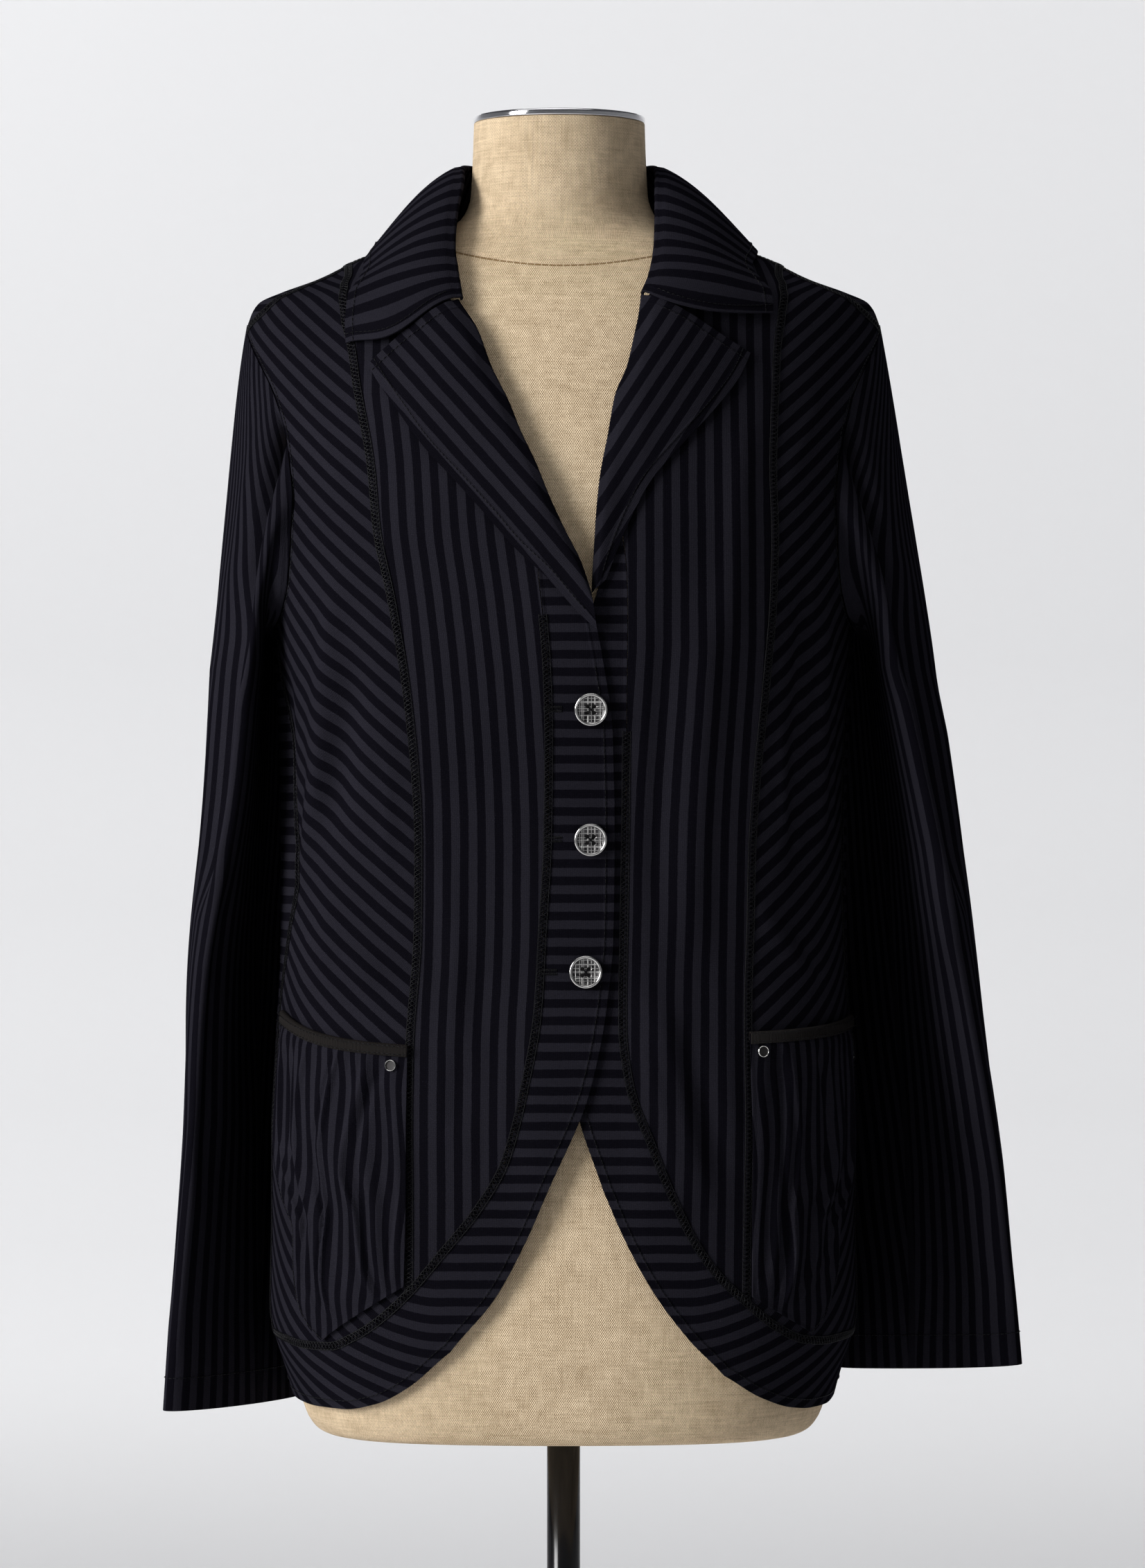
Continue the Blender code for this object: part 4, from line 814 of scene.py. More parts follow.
def slanted_stripes(places, slant=40.0):
    around, up = round_and_up(places)
    out = abs(around) - 0.075
    cos, sin = np.cos(np.radians(slant)), np.sin(np.radians(slant))
    return np.stack([up * cos - out * sin, out * cos + up * sin], -1)


def side_front(side):
    bottom, top = band_stretches(side, 0)[2], sample(on_side(SHOULDER_OUTER, side), 40)
    outer = chain((SIDE[side], 80), (ARMHOLE_FRONT[side], ROWS - 80))
    places = patch(bottom, top, sample(PRINCESS[side], ROWS), outer)
    return panel("side_front", places, side, slanted_stripes(places))


def armhole_back(side):
    return on_side(ARMHOLE_BACK[:-1], side) + [SIDE[side][-1]]


def side_back(side):
    outer = chain((SIDE[side], 80), (armhole_back(side)[::-1], ROWS - 80))
    princess = on_side(BACK_PRINCESS, side)
    bottom = sample([princess[0], SIDE[side][0]], 44)
    top = sample(on_side(SHOULDER_OUTER, side), 44)
    places = patch(bottom, top, sample(princess, ROWS), outer)
    around, up = round_and_up(places)
    return panel("side_back", places, side, np.stack([up, around], -1))


def back(side):
    princess = on_side(BACK_PRINCESS, side)
    centre = on_side([(180.0, HEM_SEAM + 0.001), (180.0, 1.300), BACK_NECK[0]], side)
    top = chain((on_side(BACK_NECK, side), 24), (on_side(SHOULDER_INNER, side), 6))
    bottom = sample([centre[0], princess[0]], 30)
    places = patch(bottom, top, sample(centre, ROWS), sample(princess, ROWS))
    around, up = round_and_up(places)
    half = look_up(ROUND_TABLE, places[..., 0] * 0 + 180.0, places[..., 1])
    return panel("back", places, side, np.stack([half - abs(around), up], -1))


# %% Cut the body's panels
grids = {}


def cut_both(*makers):
    """Cuts pieces for both sides, and keeps their grids for the stitching."""
    for side in SIGN:
        for maker in makers:
            grids[f"{maker.__name__}_{side}"] = maker(side)


cut_both(centre_front, side_front, side_back, back)

# %% [markdown]
# The front band is one shaped piece, about 40 mm wide, that runs down the closing edge, round the
# cutaway and on to the side seam; the hem band carries it on to the centre back. Its stripes are
# level on the straight part and tip over towards the side, where the cloth was cut on the slant.

# %% Bands
def tipped_stripes(places):
    around, up = round_and_up(places)
    out = np.clip(abs(around) - 0.075, 0, None)
    tip = 0.60 * out**2 / (out + 0.05)
    return np.stack([up - tip, around], -1)


def front_band(side):
    seam, edge = (joined(band_stretches(side, which, (90, 40, 50))) for which in (0, 1))
    u = np.linspace(0, 1, 13)[None, :, None]
    places = (1 - u) * seam[:, None] + u * edge[:, None]
    return panel("front_band", places, side, tipped_stripes(places), seams="bl", sewn="r")


def hem_band(side):
    turns = np.linspace(79.0, 180.0, 90) * SIGN[side]
    seam = np.interp(abs(turns), [79.0, 149.0], [HEM_SEAM, HEM_SEAM + 0.001])
    heights = HEM_EDGE + (seam - HEM_EDGE)[:, None] * np.linspace(0, 1, 9)[None]
    places = np.stack([np.repeat(turns[:, None], 9, axis=1), heights], -1)
    return panel("hem_band", places, side, np.stack(round_and_up(places), -1), rims="btr", seams="btr")


cut_both(front_band, hem_band)

# %% [markdown]
# A lapel is the front edge turned back on itself. In section it is a small round fold and then a
# flap that lies over the front, bowed in the middle. Its stripes run parallel to its outer edge.

# %% A flap that turns back
FOLD_RADIUS = 0.0010
LAPEL_RISE = 0.0045     # how far a lapel bows out


def turned_back(fold, normals, towards, flap, flap_normals, lift):
    """Outer and inner grid of an arc at the fold line and the flap after it."""
    outer, inner = [], []
    for angle in np.radians(np.linspace(-90, -270, 9)):
        for radius, rows in ((FOLD_RADIUS + THIN, outer), (FOLD_RADIUS, inner)):
            along = radius * np.cos(angle)
            up = FOLD_RADIUS + radius * np.sin(angle)
            rows.append(fold + towards * along + normals * up)
    for column in range(flap.shape[1]):
        base = flap[:, column] + flap_normals[:, column] * lift[:, column, None]
        outer.append(base + flap_normals[:, column] * THIN)
        inner.append(base)
    return np.stack(outer, 1), np.stack(inner, 1)


LAPEL_ROWS, LAPEL_COLUMNS = 90, 30


def lapel(side):
    roll, edge = sample(ROLL[side], LAPEL_ROWS), sample(LAPEL_EDGE[side], LAPEL_ROWS)
    top = sample(GORGE[side], LAPEL_COLUMNS)
    bottom = sample([roll[0], edge[0]], LAPEL_COLUMNS)
    roll[-1] = top[0]
    places = patch(bottom, top, roll, edge)
    turn, height = places[..., 0], places[..., 1]
    surface, normals = skin(turn, height, 0.0, side), outward(turn, height)
    towards = unit(surface[:, 6] - surface[:, 0])
    width = np.linalg.norm(surface[:, -1] - surface[:, 0], axis=1)[:, None]
    share = np.linspace(0, 1, LAPEL_COLUMNS + 1)[None, 2:]
    rise = LAPEL_RISE * np.minimum(1, width / 0.06) * np.sin(np.pi * share**0.55)
    lift = LAYER_GAP + (2 * FOLD_RADIUS - LAYER_GAP) * (1 - step(share * 1.3)) + rise
    outer, inner = turned_back(surface[:, 0] - towards * 0.0005, normals[:, 0], towards,
                               surface[:, 2:], normals[:, 2:], lift + CLOTH - THIN)
    flat = np.stack(round_and_up(places), -1)
    way = unit(flat[-1, -1] - flat[0, -1])
    off = flat - flat[0, -1]
    plan = np.stack([off[..., 0] * way[1] - off[..., 1] * way[0], off @ way], -1)
    arc = np.linspace(0.0044, 0, 9)[None, :, None] * np.array([-SIGN[side], 0])
    stripes = np.concatenate([plan[:, :1] + arc, plan[:, 2:]], axis=1)
    made = shell(f"cloth_lapel_{side}", outer, inner, stripes, knit, sewn=rim_distances(outer, "rt"))
    declare(made, outer, [f"lapel_{side}"])
    return outer


cut_both(lapel)

# %% [markdown]
# The collar stands round the neck and then falls over. Its fold line, its outer edge and its neck
# seam are three lines in space; a smooth surface spans them. Its stripes run across it, so they are
# level where it comes forward over the shoulders.

# %% Collar lines: fold (x, y, z), edge (turn, height), stand seam (turn, height), back to front
COLLAR = {
    "right": [
        ((0.0000, 0.0730, 1.5460), (-180.0, 1.4915), (-180.0, 1.5060)),
        ((-0.0260, 0.0690, 1.5460), (-160.0, 1.4905), (-158.0, 1.5060)),
        ((-0.0470, 0.0550, 1.5458), (-138.0, 1.4900), (-134.0, 1.5065)),
        ((-0.0590, 0.0330, 1.5450), (-113.0, 1.4900), (-111.0, 1.5070)),
        ((-0.0620, 0.0080, 1.5410), (-89.0, 1.4900), (-89.0, 1.5070)),
        ((-0.0620, -0.0150, 1.5310), (-70.0, 1.4865), (-72.0, 1.5055)),
        ((-0.0655, -0.0330, 1.5110), (-57.0, 1.4780), (-53.0, 1.5000)),
        ((-0.0670, -0.0500, 1.4900), (-47.0, 1.4680), (-37.0, 1.4895)),
        ((-0.0650, -0.0630, 1.4735), (-43.0, 1.4570), (-26.0, 1.4735)),
        ((-0.0620, -0.0735, 1.4560), (-41.5, 1.4293), (-20.0, 1.4560)),
    ],
    "left": [
        ((0.0000, 0.0730, 1.5460), (180.0, 1.4915), (180.0, 1.5060)),
        ((0.0230, 0.0690, 1.5460), (160.0, 1.4905), (158.0, 1.5060)),
        ((0.0425, 0.0550, 1.5458), (138.0, 1.4900), (134.0, 1.5065)),
        ((0.0540, 0.0330, 1.5450), (113.0, 1.4900), (111.0, 1.5070)),
        ((0.0570, 0.0080, 1.5400), (89.0, 1.4900), (89.0, 1.5070)),
        ((0.0570, -0.0150, 1.5290), (70.0, 1.4865), (72.0, 1.5055)),
        ((0.0570, -0.0340, 1.5080), (55.0, 1.4800), (52.0, 1.5000)),
        ((0.0560, -0.0530, 1.4865), (46.5, 1.4710), (34.0, 1.4880)),
        ((0.0530, -0.0650, 1.4710), (42.0, 1.4610), (23.0, 1.4720)),
        ((0.0484, -0.0740, 1.4592), (40.3, 1.4478), (15.5, 1.4592)),
    ],
}


def refine(line, parts):
    """A smooth line through the points, with parts spans for each span."""
    line = np.asarray(line, float)
    before = np.concatenate([[2 * line[0] - line[1]], line[:-1]])
    after = np.concatenate([line[1:], [2 * line[-1] - line[-2]]])
    tangents = (after - before) / 2
    t = (np.arange(parts) / parts)[None, :, None]
    spans = hermite(t, line[:-1, None], line[1:, None], tangents[:-1, None], tangents[1:, None])
    return np.concatenate([spans.reshape(-1, line.shape[1]), line[-1:]])


def collar_lines(parts):
    whole = COLLAR["right"][::-1] + COLLAR["left"][1:]
    fold = np.array([row[0] for row in whole])
    edge = np.array([row[1] for row in whole])
    stand = np.array([row[2] for row in whole])
    for line in (edge, stand):
        line[10:, 0] -= 360
    return [refine(line, parts) for line in (fold, edge, stand)]


# %% Collar fall and stand
COLLAR_COLUMNS, STAND_COLUMNS = 24, 12
COLLAR_RISE, COLLAR_CLEAR = 0.0055, 0.0020      # the fall's bow outwards, and where it passes a lapel
STAND_LIFT, STAND_SETBACK, STAND_TUCK = 0.0006, 0.0013, 0.0001
# How far the fall's ends bow along the neck, where the most is, and how full the bow is
COLLAR_BOW = {"right": (0.0115, 1.20, 1.6), "left": (0.0125, 0.85, 1.0)}
BOWED_ROWS = 8


def collar():
    fold, turns, stand = collar_lines(8)
    edge = body(turns[:, 0], turns[:, 1]) + outward(turns[:, 0], turns[:, 1]) * CLOTH
    seam = body(stand[:, 0], stand[:, 1]) + outward(stand[:, 0], stand[:, 1]) * STAND_LIFT
    along = unit(np.gradient(fold, axis=0))
    towards = unit(edge - fold)
    normals = unit(np.cross(along, towards))
    share = np.linspace(0, 1, COLLAR_COLUMNS + 1)[None, 1:, None]
    line = fold[:, None] + share * (edge - fold)[:, None]
    clear = np.zeros((len(fold), COLLAR_COLUMNS))
    for side, first, way in (("right", 0, -1), ("left", -1, 1)):
        size, lean, fullness = COLLAR_BOW[side]
        bow = size * np.sin(np.pi * share[0] ** lean) ** fullness
        for k in range(BOWED_ROWS):
            row, fade = first - way * k, 1 - k / BOWED_ROWS
            line[row] += along[row] * way * bow * fade**1.5
            clear[row] = COLLAR_CLEAR * np.sin(np.pi * share[0, :, 0]) * fade
    away = outward(turns[:, 0], turns[:, 1])[:, None]
    across = unit(normals[:, None] * (1 - share) + away * share)
    down = np.repeat(share[..., 0], len(fold), axis=0)
    lift = COLLAR_RISE * np.sin(np.pi * down**0.75) + COLLAR_CLEAR * (1 - down) + clear
    outer, inner = turned_back(fold, normals, towards, line, across, lift + CLOTH - THIN)
    middle = (fold + edge) / 2
    run = running(middle)
    stripes = np.stack([np.repeat(run[:, None], outer.shape[1], axis=1), running(outer, 1)], -1)
    fall = shell("cloth_collar_fall", outer, inner, stripes, knit, sewn=rim_distances(outer, "rbt"))
    declare(fall, outer, ["collar_fall"])
    top = fold + towards * STAND_SETBACK - normals * STAND_TUCK
    keep = np.flatnonzero(np.linalg.norm(top - seam, axis=1) > 0.010)
    top, seam = top[keep], seam[keep]
    share = np.linspace(0, 1, STAND_COLUMNS)[None, :, None]
    face = seam[:, None] * (1 - share) + top[:, None] * share
    inward = unit(np.cross(unit(np.gradient(seam, axis=0))[:, None], unit(top - seam)[:, None]))
    centre = np.array([NECK_X, RIDGE_Y, 1.52])
    facing = np.sign(np.sum((centre - face[:, :1]) * inward, axis=-1, keepdims=True))
    up = np.linalg.norm(top - seam, axis=1)[:, None] * share[..., 0]
    stripes = np.stack([np.repeat(run[keep][:, None], STAND_COLUMNS, axis=1), up], -1)
    band = shell("cloth_collar_stand", face, face + inward * facing * THIN, stripes, knit)
    declare(band, face, ["collar_stand"])
    return outer


grids["collar"] = collar()

# %% [markdown]
# The pockets are separate pieces laid on the side fronts, gathered so that upright pleats run down
# from the bound mouth. They are broad waves that wander, with the creases of a table on them and
# small gathers just below the mouth. Gathering packs the stripes closer, which the pattern shows too.

# %% Pockets
PLEATS, GATHERS = 5, 15
POCKET_COLUMNS, POCKET_ROWS = 110, 80
STRIPE_PACKING = 1.36   # how much closer the gathered cloth has its stripes
# Creases: three places down, the share across at each, width in share, how high (a trough is negative)
POCKET_CREASES = {
    "right": [
        ((0.12, 0.50, 0.97), (0.13, 0.275, 0.23), 0.022, -0.0026),
        ((0.10, 0.50, 0.95), (0.20, 0.345, 0.31), 0.024, 0.0024),
        ((0.05, 0.50, 0.92), (0.36, 0.48, 0.70), 0.016, 0.0022),
        ((0.05, 0.50, 0.92), (0.40, 0.53, 0.75), 0.014, -0.0018),
        ((0.04, 0.40, 0.88), (0.60, 0.64, 0.82), 0.020, 0.0016),
        ((0.10, 0.45, 0.80), (0.74, 0.69, 0.90), 0.018, -0.0016),
        ((0.06, 0.40, 0.75), (0.88, 0.80, 0.86), 0.020, 0.0018),
        ((0.25, 0.60, 0.93), (0.08, 0.06, 0.13), 0.020, -0.0012),
    ],
    "left": [
        ((0.10, 0.50, 0.95), (0.16, 0.20, 0.30), 0.026, -0.0024),
        ((0.08, 0.50, 0.95), (0.24, 0.30, 0.42), 0.026, 0.0022),
        ((0.05, 0.50, 0.90), (0.44, 0.55, 0.52), 0.018, -0.0018),
        ((0.05, 0.50, 0.90), (0.52, 0.63, 0.60), 0.018, 0.0020),
        ((0.08, 0.45, 0.85), (0.70, 0.76, 0.70), 0.016, -0.0016),
        ((0.10, 0.50, 0.80), (0.84, 0.86, 0.80), 0.020, 0.0018),
    ],
}


def pleat_height(share, down, side):
    """Five broad waves across a pocket, as in the solid, and the creases of the table on them."""
    broad = np.sin(2 * np.pi * PLEATS * share + 1.7 * np.sin(5 * share))
    fade = (0.35 + 0.65 * step(down * 2)) * step((1 - down) * 4)
    ends = step(share * 10) * step((1 - share) * 10)
    total = 0.0011 * (1 + broad) * fade + 0.0010 * ends
    for heights, shares, width, size in POCKET_CREASES[side]:
        middle = np.interp(down, heights, shares) + 0.008 * np.sin(11 * down + 40 * shares[0])
        first, last = heights[0], heights[-1]
        length = step((down - first + 0.10) / 0.20) * step((last - down + 0.10) / 0.20)
        total = total + size * length * ends * np.exp(-((share - middle) / width) ** 2)
    gathers = 0.00035 * (1 + np.sin(2 * np.pi * GATHERS * share + 2.0 * np.sin(6 * share)))
    total = total + gathers * ends * step(down * 20) * step((0.30 - down) / 0.30)
    return np.maximum(total * step(down * 16) * step((1 - down) * 12), 0.0)


def pocket(side):
    inner, outer = (sample(table[side], POCKET_ROWS) for table in (POCKET_INNER, POCKET_OUTER))
    share = np.linspace(0, 1, POCKET_COLUMNS + 1)
    middle = (inner[-1] + outer[-1]) / 2 - (0, 0.001)
    bottom = sample([inner[-1], middle, outer[-1]], POCKET_COLUMNS)
    mouth = sample([inner[0], outer[0]], POCKET_COLUMNS)
    mouth[:, 1] -= POCKET_MOUTH_DIP[side] * np.sin(np.pi * share)
    places = patch(mouth, bottom, inner, outer)
    down = np.linspace(0, 1, POCKET_ROWS + 1)[:, None]
    pleats = pleat_height(share[None], down, side)
    around, up = round_and_up(places)
    sway = (0.0016 * np.sin(2 * np.pi * (1.3 * down + 1.7 * share))
            + 0.0009 * np.sin(9 * down + 13 * share))
    straight = around - 0.62 * (around[:, :1] - around[:1, :1])
    packed = STRIPE_PACKING * straight + sway * step(down * 5)
    stripes = np.stack([packed, up], -1)
    panel("pocket", places, side, stripes, CLOTH + LAYER_GAP + pleats, seams="lrt")
    binding(side, mouth)
    return mouth


# %% Pocket bindings
TAPE = 0.0007           # its thickness
TAPE_FRONT, TAPE_BEND = 0.0041, 0.0017      # how far its front lies out, and the radius of its fold


def binding(side, mouth):
    """Tape folded over the mouth: its front on the pocket, a small fold and a short part behind it."""
    bend = np.radians(np.linspace(0, 180, 7))
    lifts = [np.full(6, TAPE_FRONT), TAPE_FRONT - TAPE_BEND + TAPE_BEND * np.cos(bend),
             np.full(3, TAPE_FRONT - 2 * TAPE_BEND)]
    drops = [np.linspace(-0.0060, -0.0012, 6), -0.0007 + TAPE_BEND * np.sin(bend),
             np.linspace(-0.0015, -0.0035, 3)]
    path = np.stack([np.concatenate(lifts), np.concatenate(drops)], -1)
    way = unit(np.gradient(path, axis=0))
    away = np.stack([way[:, 1], -way[:, 0]], -1) * TAPE / 2
    faces = []
    for line in (path + away, path - away):
        places = np.repeat(mouth[None], len(path), axis=0)
        places[..., 1] += line[:, 1:]
        faces.append(pull_in(skin(places[..., 0], places[..., 1], line[:, :1], side), RIM_PULL, "lr"))
    made = shell(f"tape_pocket_{side}", *faces, np.stack(round_and_up(places), -1), tape)
    declare(made, faces[0], [f"pocket_binding_{side}"])


cut_both(pocket)

# %% [markdown]
# A sleeve is a tube. At the top it starts on the armhole seam, leaves the body sideways and turns
# down; below it is a flattened oval that hangs free, and it widens to an open cuff. Its stripes run
# down its length. Empty sleeves collapse in long soft creases.

# %% Sleeve sizes: height, centre_x, centre_y, half_width, half_depth, turned, curve
SLEEVE = {
    "right": np.array([
        (1.235, 0.1999, 0.014, 0.086, 0.0175, 2, 0.014),
        (1.165, 0.2020, 0.018, 0.084, 0.0180, 5, 0.013),
        (1.045, 0.2067, 0.032, 0.080, 0.0175, 14, 0.008),
        (0.950, 0.2060, 0.040, 0.074, 0.0175, 19, 0.004),
        (0.853, 0.2055, 0.045, 0.070, 0.0180, 27, 0.001),
        (0.7815, 0.2045, 0.045, 0.068, 0.0180, 34, 0.000),
    ]),
    "left": np.array([
        (1.235, 0.2079, 0.014, 0.086, 0.0200, 4, 0.014),
        (1.136, 0.2172, 0.020, 0.084, 0.0200, 12, 0.012),
        (1.035, 0.2243, 0.028, 0.080, 0.0200, 22, 0.011),
        (0.925, 0.2309, 0.034, 0.076, 0.0195, 32, 0.008),
        (0.862, 0.2317, 0.036, 0.073, 0.0190, 38, 0.006),
        (0.8055, 0.2297, 0.036, 0.071, 0.0185, 46, 0.003),
    ]),
}
BACK_CURVE = 2.2        # how much more the back of a sleeve curves round the body than its front
SLEEVE_CUFF_RISE = {"right": 0.0, "left": 0.10}     # slope of the cuff outwards
# A cap leaves the armhole sideways at the first height and downwards at the second
CAP_HEIGHTS = 1.260, 1.4425
CAP_REACH = 0.8, 0.9            # how far its curve keeps its direction at the armhole and at the tube

# Long creases of the sleeves: around (0 inside, 90 front, 180 outside), top, bottom, width, depth
SLEEVE_FOLDS = {
    "right": [(108, 1.425, 1.210, 10, -0.0105), (125, 1.300, 1.080, 13, -0.0090),
              (74, 1.400, 1.270, 12, 0.0040), (62, 1.130, 0.900, 14, -0.0040),
              (215, 1.330, 0.940, 16, -0.0050),
              (160, 1.020, 0.820, 14, 0.0030), (100, 1.330, 1.080, 7, 0.0018),
              (148, 1.250, 0.980, 7, 0.0016), (112, 1.000, 0.830, 8, -0.0016),
              (178, 1.300, 1.100, 8, -0.0014), (80, 0.960, 0.800, 8, 0.0016),
              (240, 1.200, 0.860, 9, 0.0018), (138, 1.400, 1.250, 8, 0.0014)],
    "left": [(108, 1.425, 1.210, 10, -0.0105), (125, 1.300, 1.080, 13, -0.0090),
             (74, 1.400, 1.270, 12, 0.0040), (150, 1.240, 0.850, 14, 0.0030),
             (205, 1.300, 0.900, 16, -0.0050),
             (68, 1.080, 0.880, 14, -0.0035), (98, 1.330, 1.060, 7, 0.0018),
             (136, 1.120, 0.860, 7, -0.0018), (170, 1.180, 0.940, 8, 0.0016),
             (86, 0.960, 0.820, 8, 0.0014), (235, 1.220, 0.880, 9, 0.0018)],
}


def sleeve_ring(side, row, count):
    height, x, y, wide, deep, turned, curve = row
    angle = np.radians(turned)
    way = SIGN[side]
    to_front = np.array([way * np.sin(angle), -np.cos(angle)])
    to_outside = np.array([way * np.cos(angle), np.sin(angle)])
    round_it = 2 * np.pi * np.arange(count) / count
    flat = np.array([way * x, y]) + np.outer(wide * np.sin(round_it), to_front)
    inwards = curve * np.where(np.sin(round_it) < 0, BACK_CURVE, 1.0) * np.sin(round_it) ** 2
    flat = flat - np.outer(deep * np.cos(round_it) + inwards, to_outside)
    return np.column_stack([flat, np.full(count, height)])


def tube_normals(grid):
    round_it = np.roll(grid, -1, axis=1) - np.roll(grid, 1, axis=1)
    down = np.gradient(grid, axis=0)
    normals = unit(np.cross(round_it, down))
    middle = grid.mean(axis=1, keepdims=True)
    return normals * np.sign(np.sum(normals * (grid - middle)))


# %% Sleeves
SLEEVE_HALF, CAP_ROWS, LOWER_ROWS = 40, 40, 110


def sleeve_stripes(side, outer, plain):
    """Lengths round the sleeve. On the cap they run on straight up from the tube's first ring."""
    _, _, _, wide, deep, turned_by, _ = SLEEVE[side][0]
    run = running(np.concatenate([outer, outer[:, :1]], axis=1), 1)
    run = run - run[:, SLEEVE_HALF * 3 // 4][:, None]
    away = plain[:CAP_ROWS] - plain[CAP_ROWS].mean(axis=0)
    angle = np.radians(turned_by)
    front = away[..., 0] * SIGN[side] * np.sin(angle) - away[..., 1] * np.cos(angle)
    out = away[..., 0] * SIGN[side] * np.cos(angle) + away[..., 1] * np.sin(angle)
    place = np.degrees(np.arctan2(front / wide, -out / deep)) % 360
    around = np.degrees(2 * np.pi * np.arange(outer.shape[1]) / outer.shape[1])
    straight = np.interp(place, around.tolist() + [360.0], run[CAP_ROWS])
    share = step(np.linspace(0, 1, CAP_ROWS) * 1.2)[:, None]
    across = run[:, :-1].copy()
    across[:CAP_ROWS] = across[:CAP_ROWS] * share + straight * (1 - share)
    return across


def sleeve(side):
    count = 2 * SLEEVE_HALF
    armhole = np.concatenate([sample(ARMHOLE_FRONT[side], SLEEVE_HALF)[:-1],
                              sample(armhole_back(side), SLEEVE_HALF)[:-1]])
    start = skin(armhole[:, 0], armhole[:, 1], LAYER_GAP * 0.5, side)
    along = np.roll(start, -1, axis=0) - np.roll(start, 1, axis=0)
    inwards = np.cross(along, outward(armhole[:, 0], armhole[:, 1]))
    inwards *= np.sign(np.sum(inwards * (start.mean(axis=0) - start)))
    start += unit(inwards) * 0.0005
    table = SLEEVE[side]
    end = sleeve_ring(side, table[0], count)
    reach = np.linalg.norm(end - start, axis=1)[:, None]
    high = np.clip((start[:, 2:] - CAP_HEIGHTS[0]) / (CAP_HEIGHTS[1] - CAP_HEIGHTS[0]), 0, 1)
    aside = SIGN[side] * (0.5 - 0.4 * high)
    leave = outward(armhole[:, 0], armhole[:, 1]) * (1 - 0.75 * high)
    leave = unit(leave + np.hstack([aside, 0 * high, -0.25 - 1.6 * high]))
    arrive = unit(np.array([SIGN[side] * 0.12, 0, -1.0]))
    leave, arrive = CAP_REACH[0] * reach * leave, CAP_REACH[1] * reach * arrive
    rows = [hermite(t, start, end, leave, arrive) for t in np.linspace(0, 1, CAP_ROWS + 1)]
    columns = [smooth_column(table[::-1], c) for c in range(1, 7)]
    for height in np.linspace(table[0, 0], table[-1, 0], LOWER_ROWS + 1)[1:]:
        rows.append(sleeve_ring(side, (height, *(column(height) for column in columns)), count))
    outer = np.array(rows)
    lower = step((1.0 - outer[..., 2]) / 0.20)
    outer[..., 2] += SLEEVE_CUFF_RISE[side] * lower * (abs(outer[..., 0]) - table[-1, 1])
    plain = outer.copy()
    normals = tube_normals(outer)
    around = np.degrees(2 * np.pi * np.arange(count) / count)
    for place, top, bottom, width, depth in SLEEVE_FOLDS[side]:
        apart = np.exp(-(((around - place) / width) ** 2))[None]
        height = outer[..., 2]
        fade = step((top - height) / 0.05) * step((height - bottom) / 0.05)
        outer = outer + normals * (depth * apart * fade)[..., None]
    inner = outer - tube_normals(outer) * THIN
    length = running(outer)
    stripes = np.stack([sleeve_stripes(side, outer, plain), length], -1)
    made = shell(f"cloth_sleeve_{side}", outer, inner, stripes, knit, length, tube=True)
    declare(made, outer, [f"sleeve_{side}"], tube=True)
    return outer


cut_both(sleeve)

# %% [markdown]
# Stitching is the same small piece many times over, which is what Geometry Nodes are for. A mesh of
# points carries, for every stitch, the way along the seam and the way out of the cloth. The tree
# puts one stitch on each point, turned to both, makes it real and gives it the thread's finish.

# %% Points for the stitches
def resample(line, normals, pitch):
    """Equally spaced points along a line of points, with their outward normals."""
    run = running(line)
    count = max(2, int(run[-1] / pitch))
    places = (np.arange(count) + 0.5) * run[-1] / count

    def at(places, values):
        return np.column_stack([np.interp(places, run, values[:, i]) for i in range(3)])

    ahead, behind = at(places + pitch / 4, line), at(places - pitch / 4, line)
    return at(places, line), unit(ahead - behind), unit(at(places, normals))


def seam_row(places, side, lift, pitch, inset=0.0, count=400):
    """Stitch points on a seam, moved sideways by inset (positive to its left, seen along it)."""
    places = sample(places, count)
    line = skin(places[:, 0], places[:, 1], lift, side)
    normals = outward(places[:, 0], places[:, 1])
    along = unit(np.gradient(line, axis=0))
    return resample(line + unit(np.cross(normals, along)) * inset, normals, pitch)


def point_mesh(name, rows):
    points, along, out = (np.concatenate([row[i] for row in rows]) for i in range(3))
    mesh = new_mesh(name, points, [])
    for label, values in (("along", along), ("out", out)):
        layer = mesh.attributes.new(label, "FLOAT_VECTOR", "POINT")
        layer.data.foreach_set("vector", values.ravel().astype(np.float32))
    return new_object(name, mesh)


